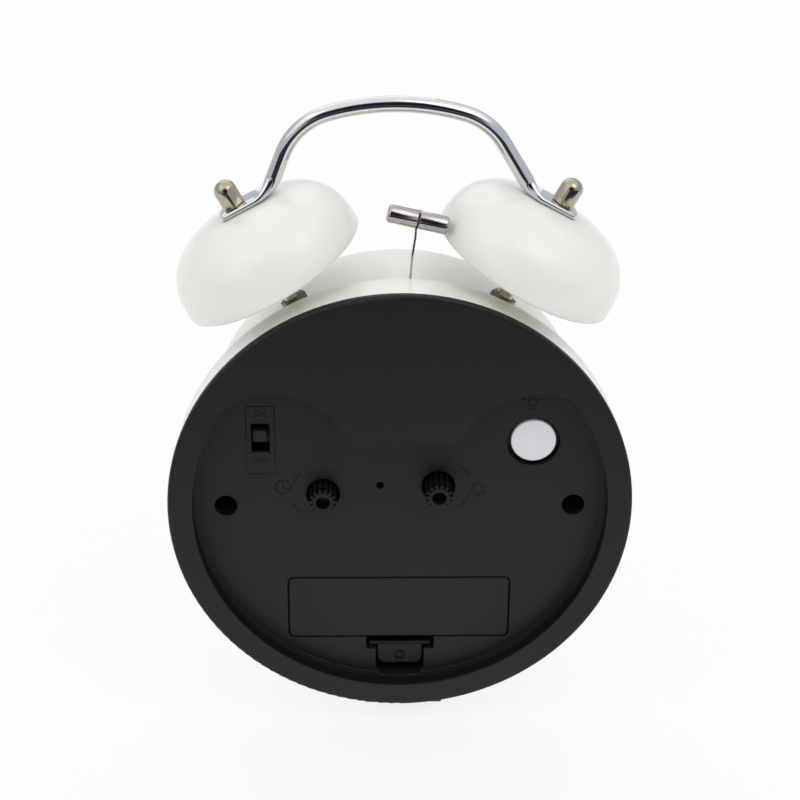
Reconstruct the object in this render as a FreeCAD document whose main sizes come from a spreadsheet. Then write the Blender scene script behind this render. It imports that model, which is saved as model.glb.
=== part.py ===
import FreeCAD, Part
import math
import os
import Sketcher

# A twin-bell alarm clock seen from behind. It is modelled about the clock's axis: y = 0
# lies just inside the rear rim, +Y is the rear, +Z is up and +X is left as seen from
# behind. The finished pieces are then moved so that the feet stand on z = 0.

DIMENSIONS = [
    ("axis_height", 62, "clock axis above the table"),
    ("rear_y", 23.5, "y = 0 behind the middle of the depth"),
    ("rim_radius", 58, "black rear rim"),
    ("rim_face", 1.2, "rear face of the rim"),
    ("rim_front", -0.8, "where the rim meets the white band"),
    ("cover_wall", 2, "wall of the rear cover"),
    ("spigot_radius", 56.6, "collar of the cover inside the case band"),
    ("spigot_end", -7, "front edge of that collar"),
    ("recess_radius", 51.8, "sunk panel of the cover"),
    ("recess_top", 18.3, "straight upper edge of the panel"),
    ("floor_y", -3.5, "face of the sunk panel"),
    ("ledge_y", -3.0, "face of the thin ledge at the panel's wall"),
    ("lobe_radius", 20, "round lobes of the panel beside the straight edge"),
    ("lobe_height", 12.3, "centres of the lobes"),
    ("lobe_left", 31.5, "left lobe"),
    ("lobe_right", -33.7, "right lobe"),
    ("band_radius", 57.5, "white band next to the cover"),
    ("crest_y", -12.2, "front edge of the band"),
    ("step_y", -13.3, "foot of the step down to the drum"),
    ("drum_radius", 50.3, "drum of the case"),
    ("front_y", -50, "front edge of the case"),
    ("case_wall", 0.8, "sheet of the case"),
    ("lip_radius", 47, "rolled front edge"),
    ("lens_front", -49.2, "outer face of the lens"),
    ("lens_back", -48.2, "inner face of the lens"),
    ("dial_radius", 49.3, "dial, lens and their rings"),
    ("ring_inner", 46.6, "opening of the ring round the dial"),
    ("dial_front", -44.4, "face of the dial"),
    ("dial_back", -44, "back of the dial"),
    ("frame_back", -42, "back of the dial frame"),
    ("screw_x", 43.7, "cover screws left and right of the axis"),
    ("screw_z", -0.95, "height of the cover screws"),
    ("screw_well", 5.7, "diameter of the screw holes"),
    ("boss_end", -24, "where the cover bosses meet the frame pillars"),
    ("knob_hole", 8.4, "holes of the two knobs"),
    ("time_x", 19.3, "time setting shaft"),
    ("time_z", 2.3, "height of the time shaft"),
    ("time_tip", 1.3, "rear end of the time knob"),
    ("alarm_x", -9.6, "alarm setting shaft"),
    ("alarm_z", 4.4, "height of the alarm shaft"),
    ("alarm_tip", 3.0, "rear end of the alarm knob"),
    ("knob_root", 5.1, "knob diameter between its teeth"),
    ("knob_outer", 6.8, "knob diameter over its teeth"),
    ("knob_bore", 3.6, "hole along the knob"),
    ("knob_teeth", 14, "teeth of a knob"),
    ("shaft_pivot", 1.6, "shaft diameter inside the movement"),
    ("door_half", 28.2, "half length of the battery cover"),
    ("door_top", -22.3, "upper edge of the battery cover"),
    ("door_foot", -39.6, "lower edge of the battery cover"),
    ("door_thick", 1.8, "battery cover"),
    ("door_gap", 0.4, "gap round the battery cover"),
    ("cell_z", -30.95, "axis of the battery"),
    ("cell_y", -12.7, "depth of the battery's axis"),
    ("cell_radius", 7.1, "battery"),
    ("latch_left", 5.9, "latch well, left side"),
    ("latch_right", -6.6, "latch well, right side"),
    ("latch_foot", -51.2, "latch well, lower edge"),
    ("tab_top", -42.9, "latch tab, upper edge"),
    ("tab_foot", -48.6, "latch tab, lower edge"),
    ("switch_x", 34.65, "middle of the alarm switch"),
    ("switch_z", 18.1, "height of its slot"),
    ("button_x", -33.1, "light button"),
    ("button_z", 16.9, "height of the light button"),
    ("button_face", 11.2, "diameter of the light button"),
    ("button_hole", 13.3, "hole of the light button"),
    ("case_left", 36, "movement case, left side"),
    ("case_right", -22, "movement case, right side"),
    ("case_top", 20, "movement case, top"),
    ("case_foot", -21, "movement case, bottom"),
    ("split_y", -33, "where the two movement shells meet"),
    ("move_back", -24, "rear face of the movement"),
    ("shell_wall", 1.5, "walls of the movement shells"),
    ("bell_left", 29.6, "left bell's axis from the vertical"),
    ("bell_right", 28.9, "right bell's axis from the vertical"),
    ("bell_y", -24, "plane of the bells and handle"),
    ("bell_crown", 80.9, "top of a bell along its axis"),
    ("bell_girth", 63.7, "widest place of a bell along its axis"),
    ("bell_radius", 24.25, "largest radius of a bell"),
    ("bell_lip", 62.9, "mouth of a bell along its axis"),
    ("bell_mouth", 23.45, "radius of the mouth"),
    ("bell_wall", 1, "wall of a bell"),
    ("bell_curve", 2.7, "exponent of the bell's curve"),
    ("stud_radius", 1.9, "threaded end of a bell post"),
    ("post_radius", 2.2, "shank of a bell post"),
    ("post_start", 45.5, "inner end of a bell post"),
    ("nut_flat", 6, "width across flats of the nuts"),
    ("acorn_flat", 5.5, "width across flats of the acorn nuts"),
    ("acorn_body", 2.95, "radius of their rounded corners and dome"),
    ("acorn_height", 6.9, "height of the acorn nuts"),
    ("acorn_left", 40, "turn of the left acorn nut"),
    ("acorn_right", 8, "turn of the right acorn nut"),
    ("strap_thick", 1.4, "flattened end of the handle"),
    ("strap_wide", 8.6, "width of the flattened end"),
    ("strap_end", 4, "flattened end beyond the post"),
    ("rod_radius", 2, "handle rod"),
    ("handle_top", 97.3, "centre line of the handle at the top"),
    ("handle_arc", 59, "radius of the top of the handle"),
    ("handle_turn", 16, "half angle of the top"),
    ("handle_corner", 17, "radius of the handle's corners"),
    ("handle_lean", 1.2, "sideways lean of the handle's top"),
    ("handle_bend", 11, "radius of the bend above the bells"),
    ("bend_x", 32.2, "bend point beside a bell post"),
    ("hammer_y", -14.7, "plane of the hammer"),
    ("hammer_x", -4.05, "middle of the hammer head"),
    ("hammer_z", 71.4, "height of the hammer head"),
    ("hammer_tilt", 13.1, "tilt of the hammer head"),
    ("hammer_radius", 2.25, "hammer head"),
    ("hammer_half", 7.4, "length of one half of the head"),
    ("arm_thick", 0.5, "spring strip of the hammer"),
    ("arm_wide", 2.4, "width of that strip"),
    ("pivot_x", -2.2, "hammer pivot"),
    ("pivot_z", 41, "height of the hammer pivot"),
    ("motor_x", -6.4, "striker motor"),
    ("striker_x", 2.6, "striker wheel"),
    ("striker_z", 33, "height of motor and striker wheel"),
    ("leg_angle", 26, "front legs from straight down"),
    ("leg_y", -36, "plane of the front legs"),
    ("leg_ball", 3, "radius of the ball foot"),
    ("foot_left", 8.5, "rear foot, left side"),
    ("foot_right", -11.5, "rear foot, right side"),
    ("foot_rear", -6, "rear face of the rear foot"),
    ("foot_front", -11.8, "front face of the rear foot"),
    ("hour_angle", 305, "hour hand at rest"),
    ("minute_angle", 60, "minute hand at rest"),
    ("second_angle", 210, "second hand at rest"),
    ("wake_angle", 180, "alarm hand at rest"),
    ("fit", 0.05, "radial clearance of a running fit"),
]

Vector = FreeCAD.Vector
ALONG_Y = FreeCAD.Rotation(Vector(1, 0, 0), -90)
ALONG_X = FreeCAD.Rotation(Vector(0, 1, 0), 90)

document = FreeCAD.newDocument("AlarmClock")
sheet = document.addObject("Spreadsheet::Sheet", "Params")
for row, (alias, size, note) in enumerate(DIMENSIONS, start=1):
    sheet.set("A%d" % row, alias)
    sheet.set("B%d" % row, str(size))
    sheet.set("C%d" % row, note)
    sheet.setAlias("B%d" % row, alias)
document.recompute()

ALIASES = {alias for alias, size, note in DIMENSIONS}
meter = document.addObject("App::FeaturePython", "Meter")
meter.addProperty("App::PropertyFloat", "Reading")
pieces = []


def formula(text):
    """Write an expression's names the way the sheet is addressed."""
    words = []
    word = ""
    for letter in text + " ":
        if letter.isalnum() or letter in "_.":
            word += letter
        else:
            words.append("Params." + word if word in ALIASES else word)
            words.append(letter)
            word = ""
    return "".join(words).strip()


def size(text):
    """Value of an expression of the sheet's names."""
    meter.setExpression("Reading", formula(text))
    meter.recompute()
    return meter.Reading


def bind(thing, name, text):
    thing.setExpression(name, formula(text))


def locate(thing, x, y, z, turn=None):
    """Bind a position, after setting the direction."""
    if turn is not None:
        thing.Placement = FreeCAD.Placement(Vector(), turn)
    for axis, text in (("x", x), ("y", y), ("z", z)):
        if text != "0":
            bind(thing, "Placement.Base." + axis, text)
    return thing


def cylinder(name, radius, start, end, x="0", z="0"):
    """Cylinder along the clock's axis between two depths."""
    thing = document.addObject("Part::Cylinder", name)
    bind(thing, "Radius", radius)
    bind(thing, "Height", "(%s) - (%s)" % (end, start))
    return locate(thing, x, start, z, ALONG_Y)


def upright(name, radius, start, end):
    """Cylinder along the local axis of a bell, post or leg."""
    thing = document.addObject("Part::Cylinder", name)
    bind(thing, "Radius", radius)
    bind(thing, "Height", "(%s) - (%s)" % (end, start))
    return locate(thing, "0", "0", start)


def crosswise(name, radius, start, end, y, z):
    """Cylinder along X."""
    thing = document.addObject("Part::Cylinder", name)
    bind(thing, "Radius", radius)
    bind(thing, "Height", "(%s) - (%s)" % (end, start))
    return locate(thing, start, y, z, ALONG_X)


def box(name, x, y, z):
    """Box between pairs of coordinates, lower one first."""
    thing = document.addObject("Part::Box", name)
    for prop, (low, high) in (("Length", x), ("Width", y), ("Height", z)):
        bind(thing, prop, "(%s) - (%s)" % (high, low))
    return locate(thing, x[0], y[0], z[0])


def fuse(name, *things):
    thing = document.addObject("Part::MultiFuse", name)
    thing.Shapes = list(things)
    return thing


def cut(name, base, *tools):
    thing = document.addObject("Part::Cut", name)
    thing.Base = base
    thing.Tool = tools[0] if len(tools) == 1 else fuse(name + "Tools", *tools)
    return thing


def common(name, first, second):
    thing = document.addObject("Part::Common", name)
    thing.Base = first
    thing.Tool = second
    return thing


def slanted(name, radius, start, end, angle, side, y):
    """Cylinder on a line that leaves the clock's axis at an angle from the vertical."""
    thing = document.addObject("Part::Cylinder", name)
    bind(thing, "Radius", radius)
    bind(thing, "Height", "(%s) - (%s)" % (end, start))
    return lean(thing, start, angle, side, y)


def lean(thing, start, angle, side, y):
    """Stand something on such a line, side 1 to the left and -1 to the right."""
    turn = FreeCAD.Rotation(Vector(0, side, 0), size(angle))
    thing.Placement = FreeCAD.Placement(Vector(), turn)
    bind(thing, "Placement.Rotation.Angle", angle)
    bind(thing, "Placement.Base.x", "(%s) * sin(%s) * %d" % (start, angle, side))
    bind(thing, "Placement.Base.y", y)
    bind(thing, "Placement.Base.z", "(%s) * cos(%s)" % (start, angle))
    return thing


def prism(name, flat, start, end, x="0", z="0"):
    """Hexagon along Z: the shape of a nut, by its width across flats."""
    thing = document.addObject("Part::Prism", name)
    thing.Polygon = 6
    bind(thing, "Circumradius", "(%s) / 2 / cos(30)" % flat)
    bind(thing, "Height", "(%s) - (%s)" % (end, start))
    return locate(thing, x, "0", start)


def sketch_of(body, role, points):
    """Closed sketch on one of the body's planes, its corners bound to the sheet."""
    sketch = body.newObject("Sketcher::SketchObject", body.Name + "Sketch")
    plane = next(item for item in body.Origin.OriginFeatures if item.Role == role)
    sketch.AttachmentSupport = (plane, [""])
    sketch.MapMode = "FlatFace"
    corners = [(size(across), size(up)) for across, up in points]
    count = len(corners)
    for index in range(count):
        start = Vector(corners[index][0], corners[index][1], 0)
        after = corners[(index + 1) % count]
        sketch.addGeometry(Part.LineSegment(start, Vector(after[0], after[1], 0)))
    for index in range(count):
        following = (index + 1) % count
        sketch.addConstraint(Sketcher.Constraint("Coincident", index, 2, following, 1))
    for index, texts in enumerate(points):
        for kind, axis, text, value in (("DistanceX", -2, texts[0], corners[index][0]),
                                        ("DistanceY", -1, texts[1], corners[index][1])):
            if abs(value) < 1e-9:
                sketch.addConstraint(Sketcher.Constraint("PointOnObject", index, 1, axis))
            else:
                place = Sketcher.Constraint(kind, -1, 1, index, 1, value)
                number = sketch.addConstraint(place)
                sketch.setExpression("Constraints[%d]" % number, formula(text))
    return sketch


def turned(name, points, rounds=(), role="XY_Plane"):
    """Body turned about the clock's axis, or the local Z axis on the XZ plane."""
    body = document.addObject("PartDesign::Body", name)
    sketch = sketch_of(body, role, points)
    solid = body.newObject("PartDesign::Revolution", name + "Turn")
    solid.Profile = sketch
    solid.ReferenceAxis = (sketch, ["V_Axis"])
    solid.Angle = 360
    document.recompute()
    for number, (index, radius) in enumerate(rounds):
        across = size(points[index][0])
        along = size(points[index][1])
        names = []
        for edge_index, edge in enumerate(body.Shape.Edges, start=1):
            if edge.Curve.TypeId != "Part::GeomCircle":
                continue
            depth = edge.Curve.Center.y if role == "XY_Plane" else edge.Curve.Center.z
            if abs(edge.Curve.Radius - across) < 1e-4 and abs(depth - along) < 1e-4:
                names.append("Edge%d" % edge_index)
        base = body.Tip
        fillet = body.newObject("PartDesign::Fillet", "%sRound%d" % (name, number))
        fillet.Base = (base, names)
        bind(fillet, "Radius", radius)
        body.Tip = fillet
        document.recompute()
    return body


def plate(name, points, start, end):
    """Body with a flat outline in X and Z, padded between two depths."""
    body = document.addObject("PartDesign::Body", name)
    sketch = sketch_of(body, "XZ_Plane", points)
    bind(sketch, "AttachmentOffset.Base.z", "-(%s)" % end)
    pad = body.newObject("PartDesign::Pad", name + "Pad")
    pad.Profile = sketch
    bind(pad, "Length", "(%s) - (%s)" % (end, start))
    return body


def rounded(name, thing, radius, chosen):
    """Fillet of the edges whose middle point passes the test."""
    document.recompute()
    fillet = document.addObject("Part::Fillet", name)
    fillet.Base = thing
    edges = []
    for index, edge in enumerate(thing.Shape.Edges, start=1):
        span = edge.ParameterRange
        middle = edge.valueAt((span[0] + span[1]) / 2)
        if chosen(edge, middle):
            edges.append((index, radius, radius))
    fillet.Edges = edges
    return fillet


def solid(name, shape):
    thing = document.addObject("Part::Feature", name)
    thing.Shape = shape
    return thing


def finish(label, thing, axis=None, angle=None, y="0"):
    """Name a finished piece and stand it in the clock's frame."""
    thing.Label = label
    if axis is not None:
        thing.Placement = FreeCAD.Placement(Vector(), FreeCAD.Rotation(axis, size(angle)))
        bind(thing, "Placement.Rotation.Angle", angle)
    shifts = {"y": "rear_y + " + y, "z": "axis_height"}
    for path, text in thing.ExpressionEngine:
        axis = path[-1]
        if "Placement.Base." in path and axis in shifts:
            shifts[axis] += " + (%s)" % text
    for axis, text in shifts.items():
        bind(thing, "Placement.Base." + axis, text)
    pieces.append(thing)
    return thing


# Case: one spun sheet with a wide rear band, a step and the drum, rolled in at the front.
case = turned("Case", [
    ("band_radius", "rim_front"),
    ("band_radius", "crest_y"),
    ("drum_radius", "step_y"),
    ("drum_radius", "front_y"),
    ("lip_radius", "front_y"),
    ("lip_radius", "lens_front"),
    ("drum_radius - case_wall", "lens_front"),
    ("drum_radius - case_wall", "step_y + case_wall"),
    ("band_radius - case_wall", "crest_y + case_wall"),
    ("band_radius - case_wall", "rim_front"),
], rounds=((1, "1.4"), (3, "1.6")))
SIDES = ((1, "bell_left"), (-1, "bell_right"))
holes = [box("HammerSlot", ("-4", "3"), ("-16.6", "-13.4"), ("40", "60"))]
for side, angle in SIDES:
    holes.append(slanted("PostHole%d" % (side + 1), "post_radius", "40", "60", angle, side,
                         "bell_y"))
    holes.append(slanted("LegHole%d" % (side + 1), "2", "40", "60", "180 - leg_angle", side,
                         "leg_y"))
holes.append(slanted("FootHole", "1.5", "40", "60", "180", 1, "(foot_rear + foot_front) / 2"))
finish("case_shell", cut("CaseShell", case, *holes))


# Rear cover: a rim, a collar that enters the band, and a sunk panel with two lobes.
def panel(name, grow, start, end):
    """The sunk panel's outline as a block, grown or drawn in."""
    disc = cylinder(name + "Disc", "recess_radius + " + grow, start, end)
    lower = box(name + "Lower", ("-70", "70"), (start, end), ("-70", "recess_top + " + grow))
    lobes = [cylinder(name + place, "lobe_radius + " + grow, start, end, centre, "lobe_height")
             for place, centre in (("Left", "lobe_left"), ("Right", "lobe_right"))]
    return common(name, disc, fuse(name + "Area", lower, *lobes))


def panel_corner(edge, middle):
    """Where the straight edge of the panel meets a lobe."""
    along = edge.Vertexes[0].Point.x - edge.Vertexes[-1].Point.x
    level = abs(middle.z - size("recess_top")) < 0.9
    return abs(along) < 1e-6 and level and abs(middle.x) < 20 and edge.Length < 9


def upright_edge(edge, middle):
    """An edge of a box that runs along the clock's axis."""
    ends = (edge.Vertexes[0].Point, edge.Vertexes[-1].Point)
    return abs(ends[0].x - ends[1].x) < 1e-6 and abs(ends[0].z - ends[1].z) < 1e-6


cover = turned("CoverRim", [
    ("0", "rim_face"),
    ("rim_radius", "rim_face"),
    ("rim_radius", "rim_front"),
    ("spigot_radius", "rim_front"),
    ("spigot_radius", "spigot_end"),
    ("spigot_radius - 1.8", "spigot_end"),
    ("spigot_radius - 1.8", "rim_front"),
    ("0", "rim_front"),
], rounds=((1, "0.8"),))
solids = [cover, panel("PanelWall", "cover_wall", "floor_y - cover_wall", "0")]
hollow = []
for name, grow, depth in (("Upper", "0", "ledge_y"), ("Floor", "-0.8", "floor_y")):
    hollow.append(rounded("Panel" + name, panel(name, grow, depth, "rim_face + 1"), 4,
                          panel_corner))
for side in ("", "-"):
    across = side + "screw_x"
    solids.append(cylinder("Boss", "4.5", "boss_end", "floor_y - 0.5", across, "screw_z"))
    hollow.append(cylinder("Well", "screw_well / 2", "boss_end + 4", "1", across, "screw_z"))
    hollow.append(cylinder("Shank", "1.3", "boss_end - 1", "1", across, "screw_z"))
for across, up in (("-18.5", "31"), ("11.2", "41")):
    solids.append(cylinder("FrameBoss", "3", "-22", "0", across, up))
    hollow.append(cylinder("FrameHole", "1.2", "-23", "-13", across, up))
hollow.append(cylinder("TimeHole", "knob_hole / 2", "-9", "1", "time_x", "time_z"))
hollow.append(cylinder("AlarmHole", "knob_hole / 2", "-9", "1", "alarm_x", "alarm_z"))
hollow.append(cylinder("PinHole", "1", "-9", "1", "5", "4.7"))

# Battery box, the step on which its cover lies, and the well of the latch below it.
solids.append(box("CellBox", ("-28.8", "28.8"), ("-20.9", "-5.4"), ("-39.7", "-22")))
hollow.append(box("CellRoom", ("-27.6", "27.6"), ("-19.9", "1"), ("-38.6", "-23.3")))
door_room = box("DoorRoom", ("-door_half - door_gap", "door_half + door_gap"),
                ("floor_y - cover_wall", "1"), ("door_foot - door_gap", "door_top + door_gap"))
hollow.append(rounded("DoorRound", door_room, 1.7, upright_edge))
for across in ("-18", "18"):
    hollow.append(box("HookRoom", (across + " - 2.5", across + " + 2.5"), ("-9", "-5"),
                      ("-24", "-20.4")))
solids.append(box("LatchBox", ("latch_right - 4", "latch_left + 4"), ("-11.6", "-5.4"),
                  ("latch_foot - 1.6", "-39.7")))
well = box("LatchWell", ("latch_right", "latch_left"), ("-10.6", "1"), ("latch_foot", "-39.7"))
hollow.append(rounded("LatchRound", well, 2.2, lambda edge, middle: middle.z < -51
                      and upright_edge(edge, middle)))
hollow.append(box("EarRoom", ("latch_right - 2.5", "latch_left + 2.5"), ("-7", "1"),
                  ("-43.6", "-39.7")))
hollow.append(box("SpringRoom", ("-5.2", "4.5"), ("-10.6", "-3"), ("-40", "-38.5")))

# Openings of the alarm switch and the light button, and the button's guide.
hollow.append(box("SwitchSlot", ("switch_x - 2.25", "switch_x + 2.25"), ("-9", "1"),
                  ("switch_z - 3.9", "switch_z + 3.9")))
solids.append(cylinder("ButtonGuide", "button_hole / 2 + 2.2", "-8.6", "-5.4", "button_x",
                       "button_z"))
hollow.append(cylinder("ButtonHole", "button_hole / 2", "-9", "1", "button_x", "button_z"))
hollow.append(cylinder("FlangeRoom", "button_hole / 2 + 1", "-9", "-5.6", "button_x",
                       "button_z"))
for across, up in (("-25.6", "9.6"), ("-40.4", "23.9")):
    solids.append(cylinder("BoardBoss", "1.8", "-13.5", "-5.4", across, up))
finish("back_cover", cut("BackCover", fuse("CoverSolid", *solids), *hollow))
screws = []
for side in ("", "-"):
    across = side + "screw_x"
    head = cylinder("Head", "2.5", "boss_end + 4", "boss_end + 6", across, "screw_z")
    shank = cylinder("Thread", "1.3", "boss_end - 8", "boss_end + 4", across, "screw_z")
    cross = [box("Cross", (across + " - 1.5", across + " + 1.5"),
                 ("boss_end + 5.2", "boss_end + 6.5"), ("screw_z - 0.3", "screw_z + 0.3")),
             box("Cross", (across + " - 0.3", across + " + 0.3"),
                 ("boss_end + 5.2", "boss_end + 6.5"), ("screw_z - 1.5", "screw_z + 1.5"))]
    screws.append(cut("Screw", fuse("ScrewSolid", head, shank), *cross))
finish("cover_screws", fuse("CoverScrews", *screws))

# Front: lens, ring, dial with its marks, and the frame that carries the movement.
finish("front_lens", cylinder("Lens", "dial_radius", "lens_front", "lens_back"))
ring = turned("DialRing", [
    ("dial_radius", "lens_back"),
    ("dial_radius", "dial_front"),
    ("ring_inner - 1", "dial_front"),
    ("ring_inner", "lens_back"),
])
finish("dial_ring", ring)
finish("dial", cut("Dial", cylinder("DialDisc", "dial_radius", "dial_front", "dial_back"),
                   cylinder("DialHole", "4.2", "dial_front - 1", "dial_back + 1")))
marks = []
for hour in range(12):
    long_mark = hour % 3 == 0
    mark = document.addObject("Part::Box", "Mark%d" % hour)
    bind(mark, "Length", "2" if long_mark else "1.2")
    bind(mark, "Width", "0.1")
    bind(mark, "Height", "6.5" if long_mark else "4.5")
    start = "36" if long_mark else "38"
    angle = 30 * hour
    mark.Placement = FreeCAD.Placement(Vector(), FreeCAD.Rotation(Vector(0, 1, 0), angle))
    half = "1" if long_mark else "0.6"
    bind(mark, "Placement.Base.x", "%s * sin(%d) - %s * cos(%d)" % (start, angle, half, angle))
    bind(mark, "Placement.Base.y", "dial_front - 0.1")
    bind(mark, "Placement.Base.z", "%s * cos(%d) + %s * sin(%d)" % (start, angle, half, angle))
    marks.append(mark)
finish("dial_marks", fuse("DialMarks", *marks))
pillars = []
bores = [cylinder("CentreHole", "4.2", "dial_back - 1", "frame_back + 1")]
for side in ("", "-"):
    across = side + "screw_x"
    pillars.append(cylinder("Pillar", "3.5", "frame_back", "boss_end", across, "screw_z"))
    bores.append(cylinder("PillarHole", "1.3", "boss_end - 8", "boss_end + 1", across,
                          "screw_z"))
finish("dial_frame", cut("DialFrame", fuse("FrameSolid", cylinder(
    "FrameDisc", "dial_radius", "dial_back", "frame_back"), *pillars), *bores))
finish("dial_lamp", box("Lamp", ("-1.6", "1.6"), ("dial_front - 1.4", "dial_front"),
                        ("42.9", "45.2")))


# Hands: a ring on its tube and a blade, pointing up before they are turned to the time.
def hand(label, name, bore, hub, y, blade, angle, tail="0"):
    """Hand whose blade outline lies in X and Z."""
    parts = [cylinder(name + "Hub", hub, y, y + " + 0.5"),
             plate(name + "Blade", blade, y, y + " + 0.3")]
    turned_hand = cut(name, fuse(name + "Solid", *parts),
                      cylinder(name + "Bore", bore, y + " - 1", y + " + 1"))
    finish(label, turned_hand, Vector(0, 1, 0), angle)


hand("alarm_hand", "AlarmHand", "3.7", "4.8", "-45.75",
     [("-0.5", "0"), ("0.5", "0"), ("0.5", "18"), ("0", "21"), ("-0.5", "18")], "wake_angle")
hand("hour_hand", "HourHand", "2.55", "3.6", "-46.45",
     [("-1.2", "0"), ("1.2", "0"), ("1.9", "19"), ("0", "27"), ("-1.9", "19")], "hour_angle")
hand("minute_hand", "MinuteHand", "1.55", "2.8", "-47.15",
     [("-0.9", "0"), ("0.9", "0"), ("1.4", "31"), ("0", "39"), ("-1.4", "31")], "minute_angle")
hand("second_hand", "SecondHand", "0.55", "1.8", "-47.85",
     [("-0.45", "-12"), ("0.45", "-12"), ("0.3", "40"), ("-0.3", "40")], "second_angle")

# Movement: two moulded shells, split in a plane, with corner posts for their screws.
INSIDE = (("case_right + shell_wall", "case_left - shell_wall"),
          ("case_foot + shell_wall", "case_top - shell_wall"))
OUTSIDE = (("case_right", "case_left"), ("case_foot", "case_top"))
CORNERS = [("case_right + 3.5", "case_top - 3.5"), ("case_right + 3.5", "case_foot + 3.5"),
           ("case_left - 3.5", "case_top - 3.5"), ("case_left - 3.5", "case_foot + 3.5")]
INTER_X = "10.2 * cos(290)"
INTER_Z = "10.2 * sin(290)"
THIRD_X = "8.4 * cos(235)"
THIRD_Z = "8.4 * sin(235)"
ROTOR_X = THIRD_X + " + 7.2 * cos(215)"
ROTOR_Z = THIRD_Z + " + 7.2 * sin(215)"
front_body = cut("FrontBox", box("FrontOuter", OUTSIDE[0], ("frame_back", "split_y"),
                                 OUTSIDE[1]),
                 box("FrontInner", INSIDE[0], ("frame_back + shell_wall", "split_y + 1"),
                     INSIDE[1]))
rear_body = cut("RearBox", box("RearOuter", OUTSIDE[0], ("split_y", "move_back"), OUTSIDE[1]),
                box("RearInner", INSIDE[0], ("split_y - 1", "move_back - shell_wall"),
                    INSIDE[1]))
front_parts = [front_body]
rear_parts = [rear_body]
front_holes = [cylinder("TubeHole", "3.7 + fit", "frame_back - 1", "-40")]
rear_holes = [cylinder("ArborHole", "0.55 + fit", "-26", "-24.7")]
small_screws = []
for across, up in CORNERS:
    front_parts.append(cylinder("FrontPost", "2.5", "frame_back + 1", "split_y", across, up))
    rear_parts.append(cylinder("RearPost", "2.5", "split_y", "move_back - 1", across, up))
    front_holes.append(cylinder("FrontThread", "0.9", "-37", "split_y + 1", across, up))
    rear_holes.append(cylinder("RearThread", "0.9", "split_y - 1", "move_back + 1", across, up))
    small_screws.append(cylinder("SmallHead", "1.9", "move_back", "move_back + 1.3", across, up))
    small_screws.append(cylinder("SmallThread", "0.9", "-37", "move_back", across, up))
for across, up in (("time_x", "time_z"), ("alarm_x", "alarm_z")):
    front_holes.append(cylinder("ShaftPivot", "shaft_pivot / 2 + fit", "-41.4", "-40", across,
                                up))
    rear_holes.append(cylinder("ShaftHole", "shaft_pivot / 2 + fit", "-26", "-23", across, up))
for across, up, radius in ((INTER_X, INTER_Z, "0.5"), (ROTOR_X, ROTOR_Z, "0.4")):
    front_holes.append(cylinder("FrontPivot", radius + " + fit", "-41.4", "-40", across, up))
    rear_holes.append(cylinder("RearPivot", radius + " + fit", "-26", "-24.6", across, up))
MINUTE_X = "9.93"
MINUTE_Z = "-1.18"
front_parts.append(cylinder("MinuteStud", "0.75", "-41", "-35.9", MINUTE_X, MINUTE_Z))
front_parts.append(cylinder("MinuteRest", "1.4", "-41", "-39", MINUTE_X, MINUTE_Z))
rear_parts.append(cylinder("ThirdStud", "0.5", "-32.6", "-25", THIRD_X, THIRD_Z))
for across, up in (("-13.6", "-8"), ("16", "-12")):
    rear_parts.append(cylinder("StatorPost", "1.2", "-27.8", "-25", across, up))
finish("movement_front", cut("MovementFront", fuse("FrontSolid", *front_parts), *front_holes))
finish("movement_back", cut("MovementBack", fuse("RearSolid", *rear_parts), *rear_holes))

# Electrical pieces of the movement: board, quartz can, coil, stator plate and rotor.
finish("circuit_board", box("Board", ("21.5", "29"), ("-26.5", "-25.5"), ("-18.5", "-3")))
finish("quartz_crystal", cylinder("Crystal", "1.5", "-32.5", "-26.5", "25", "-8"))
core = box("CoilCore", ("-5", "16"), ("-28.6", "-27.8"), ("-17.7", "-15.3"))
coil = crosswise("CoilRound", "2.6", "-2", "14", "-28.2", "-16.5")
finish("motor_coil", cut("MotorCoil", coil, box("CoilWindow", ("-3", "15"), ("-28.6", "-27.8"),
                                                ("-17.7", "-15.3"))))
stator = fuse("StatorSolid", core,
              box("StatorPlate", ("-15.3", "-5.5"), ("-28.6", "-27.8"), ("-16", "-6")),
              box("StatorBridge", ("-6", "17"), ("-28.6", "-27.8"), ("-13.2", "-10.6")),
              box("StatorLeft", ("14.5", "17"), ("-28.6", "-27.8"), ("-18", "-11")),
              box("StatorRight", ("-6", "-3"), ("-28.6", "-27.8"), ("-17.7", "-11")))
finish("stator", cut("Stator", stator, cylinder("RotorSpace", "3.4", "-30", "-27", ROTOR_X,
                                                ROTOR_Z)))


# Toothed wheels. Each tooth has straight flanks, thinned so that meshing teeth run clear.
def ring_points(teeth, module, phase, x, z):
    """Corners of a gear's outline, phase being the angle of one tooth."""
    pitch = teeth * module / 2
    points = []
    for index in range(teeth):
        middle = phase + 2 * math.pi * index / teeth
        for radius, share in ((pitch - 1.1 * module, -0.6), (pitch + 0.8 * module, -0.22),
                              (pitch + 0.8 * module, 0.22), (pitch - 1.1 * module, 0.6)):
            angle = middle + share * math.pi * module / 2 / radius
            points.append((x + radius * math.cos(angle), z + radius * math.sin(angle)))
    return points


def gear(teeth, module, start, end, x, z, phase):
    """Solid of a gear between two depths."""
    corners = [Vector(across, start, up)
               for across, up in ring_points(teeth, module, phase, x, z)]
    face = Part.Face(Part.makePolygon(corners + corners[:1]))
    return face.extrude(Vector(0, end - start, 0))


def rod(radius, start, end, x=0, z=0):
    return Part.makeCylinder(radius, end - start, Vector(x, start, z), Vector(0, 1, 0))


def meshing(direction, phase, teeth, other):
    """Angle of a tooth of the second gear that fits the first gear's teeth."""
    share = (direction - phase) * teeth / (2 * math.pi) % 1
    return direction + math.pi - (0.5 - share) * 2 * math.pi / other


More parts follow.
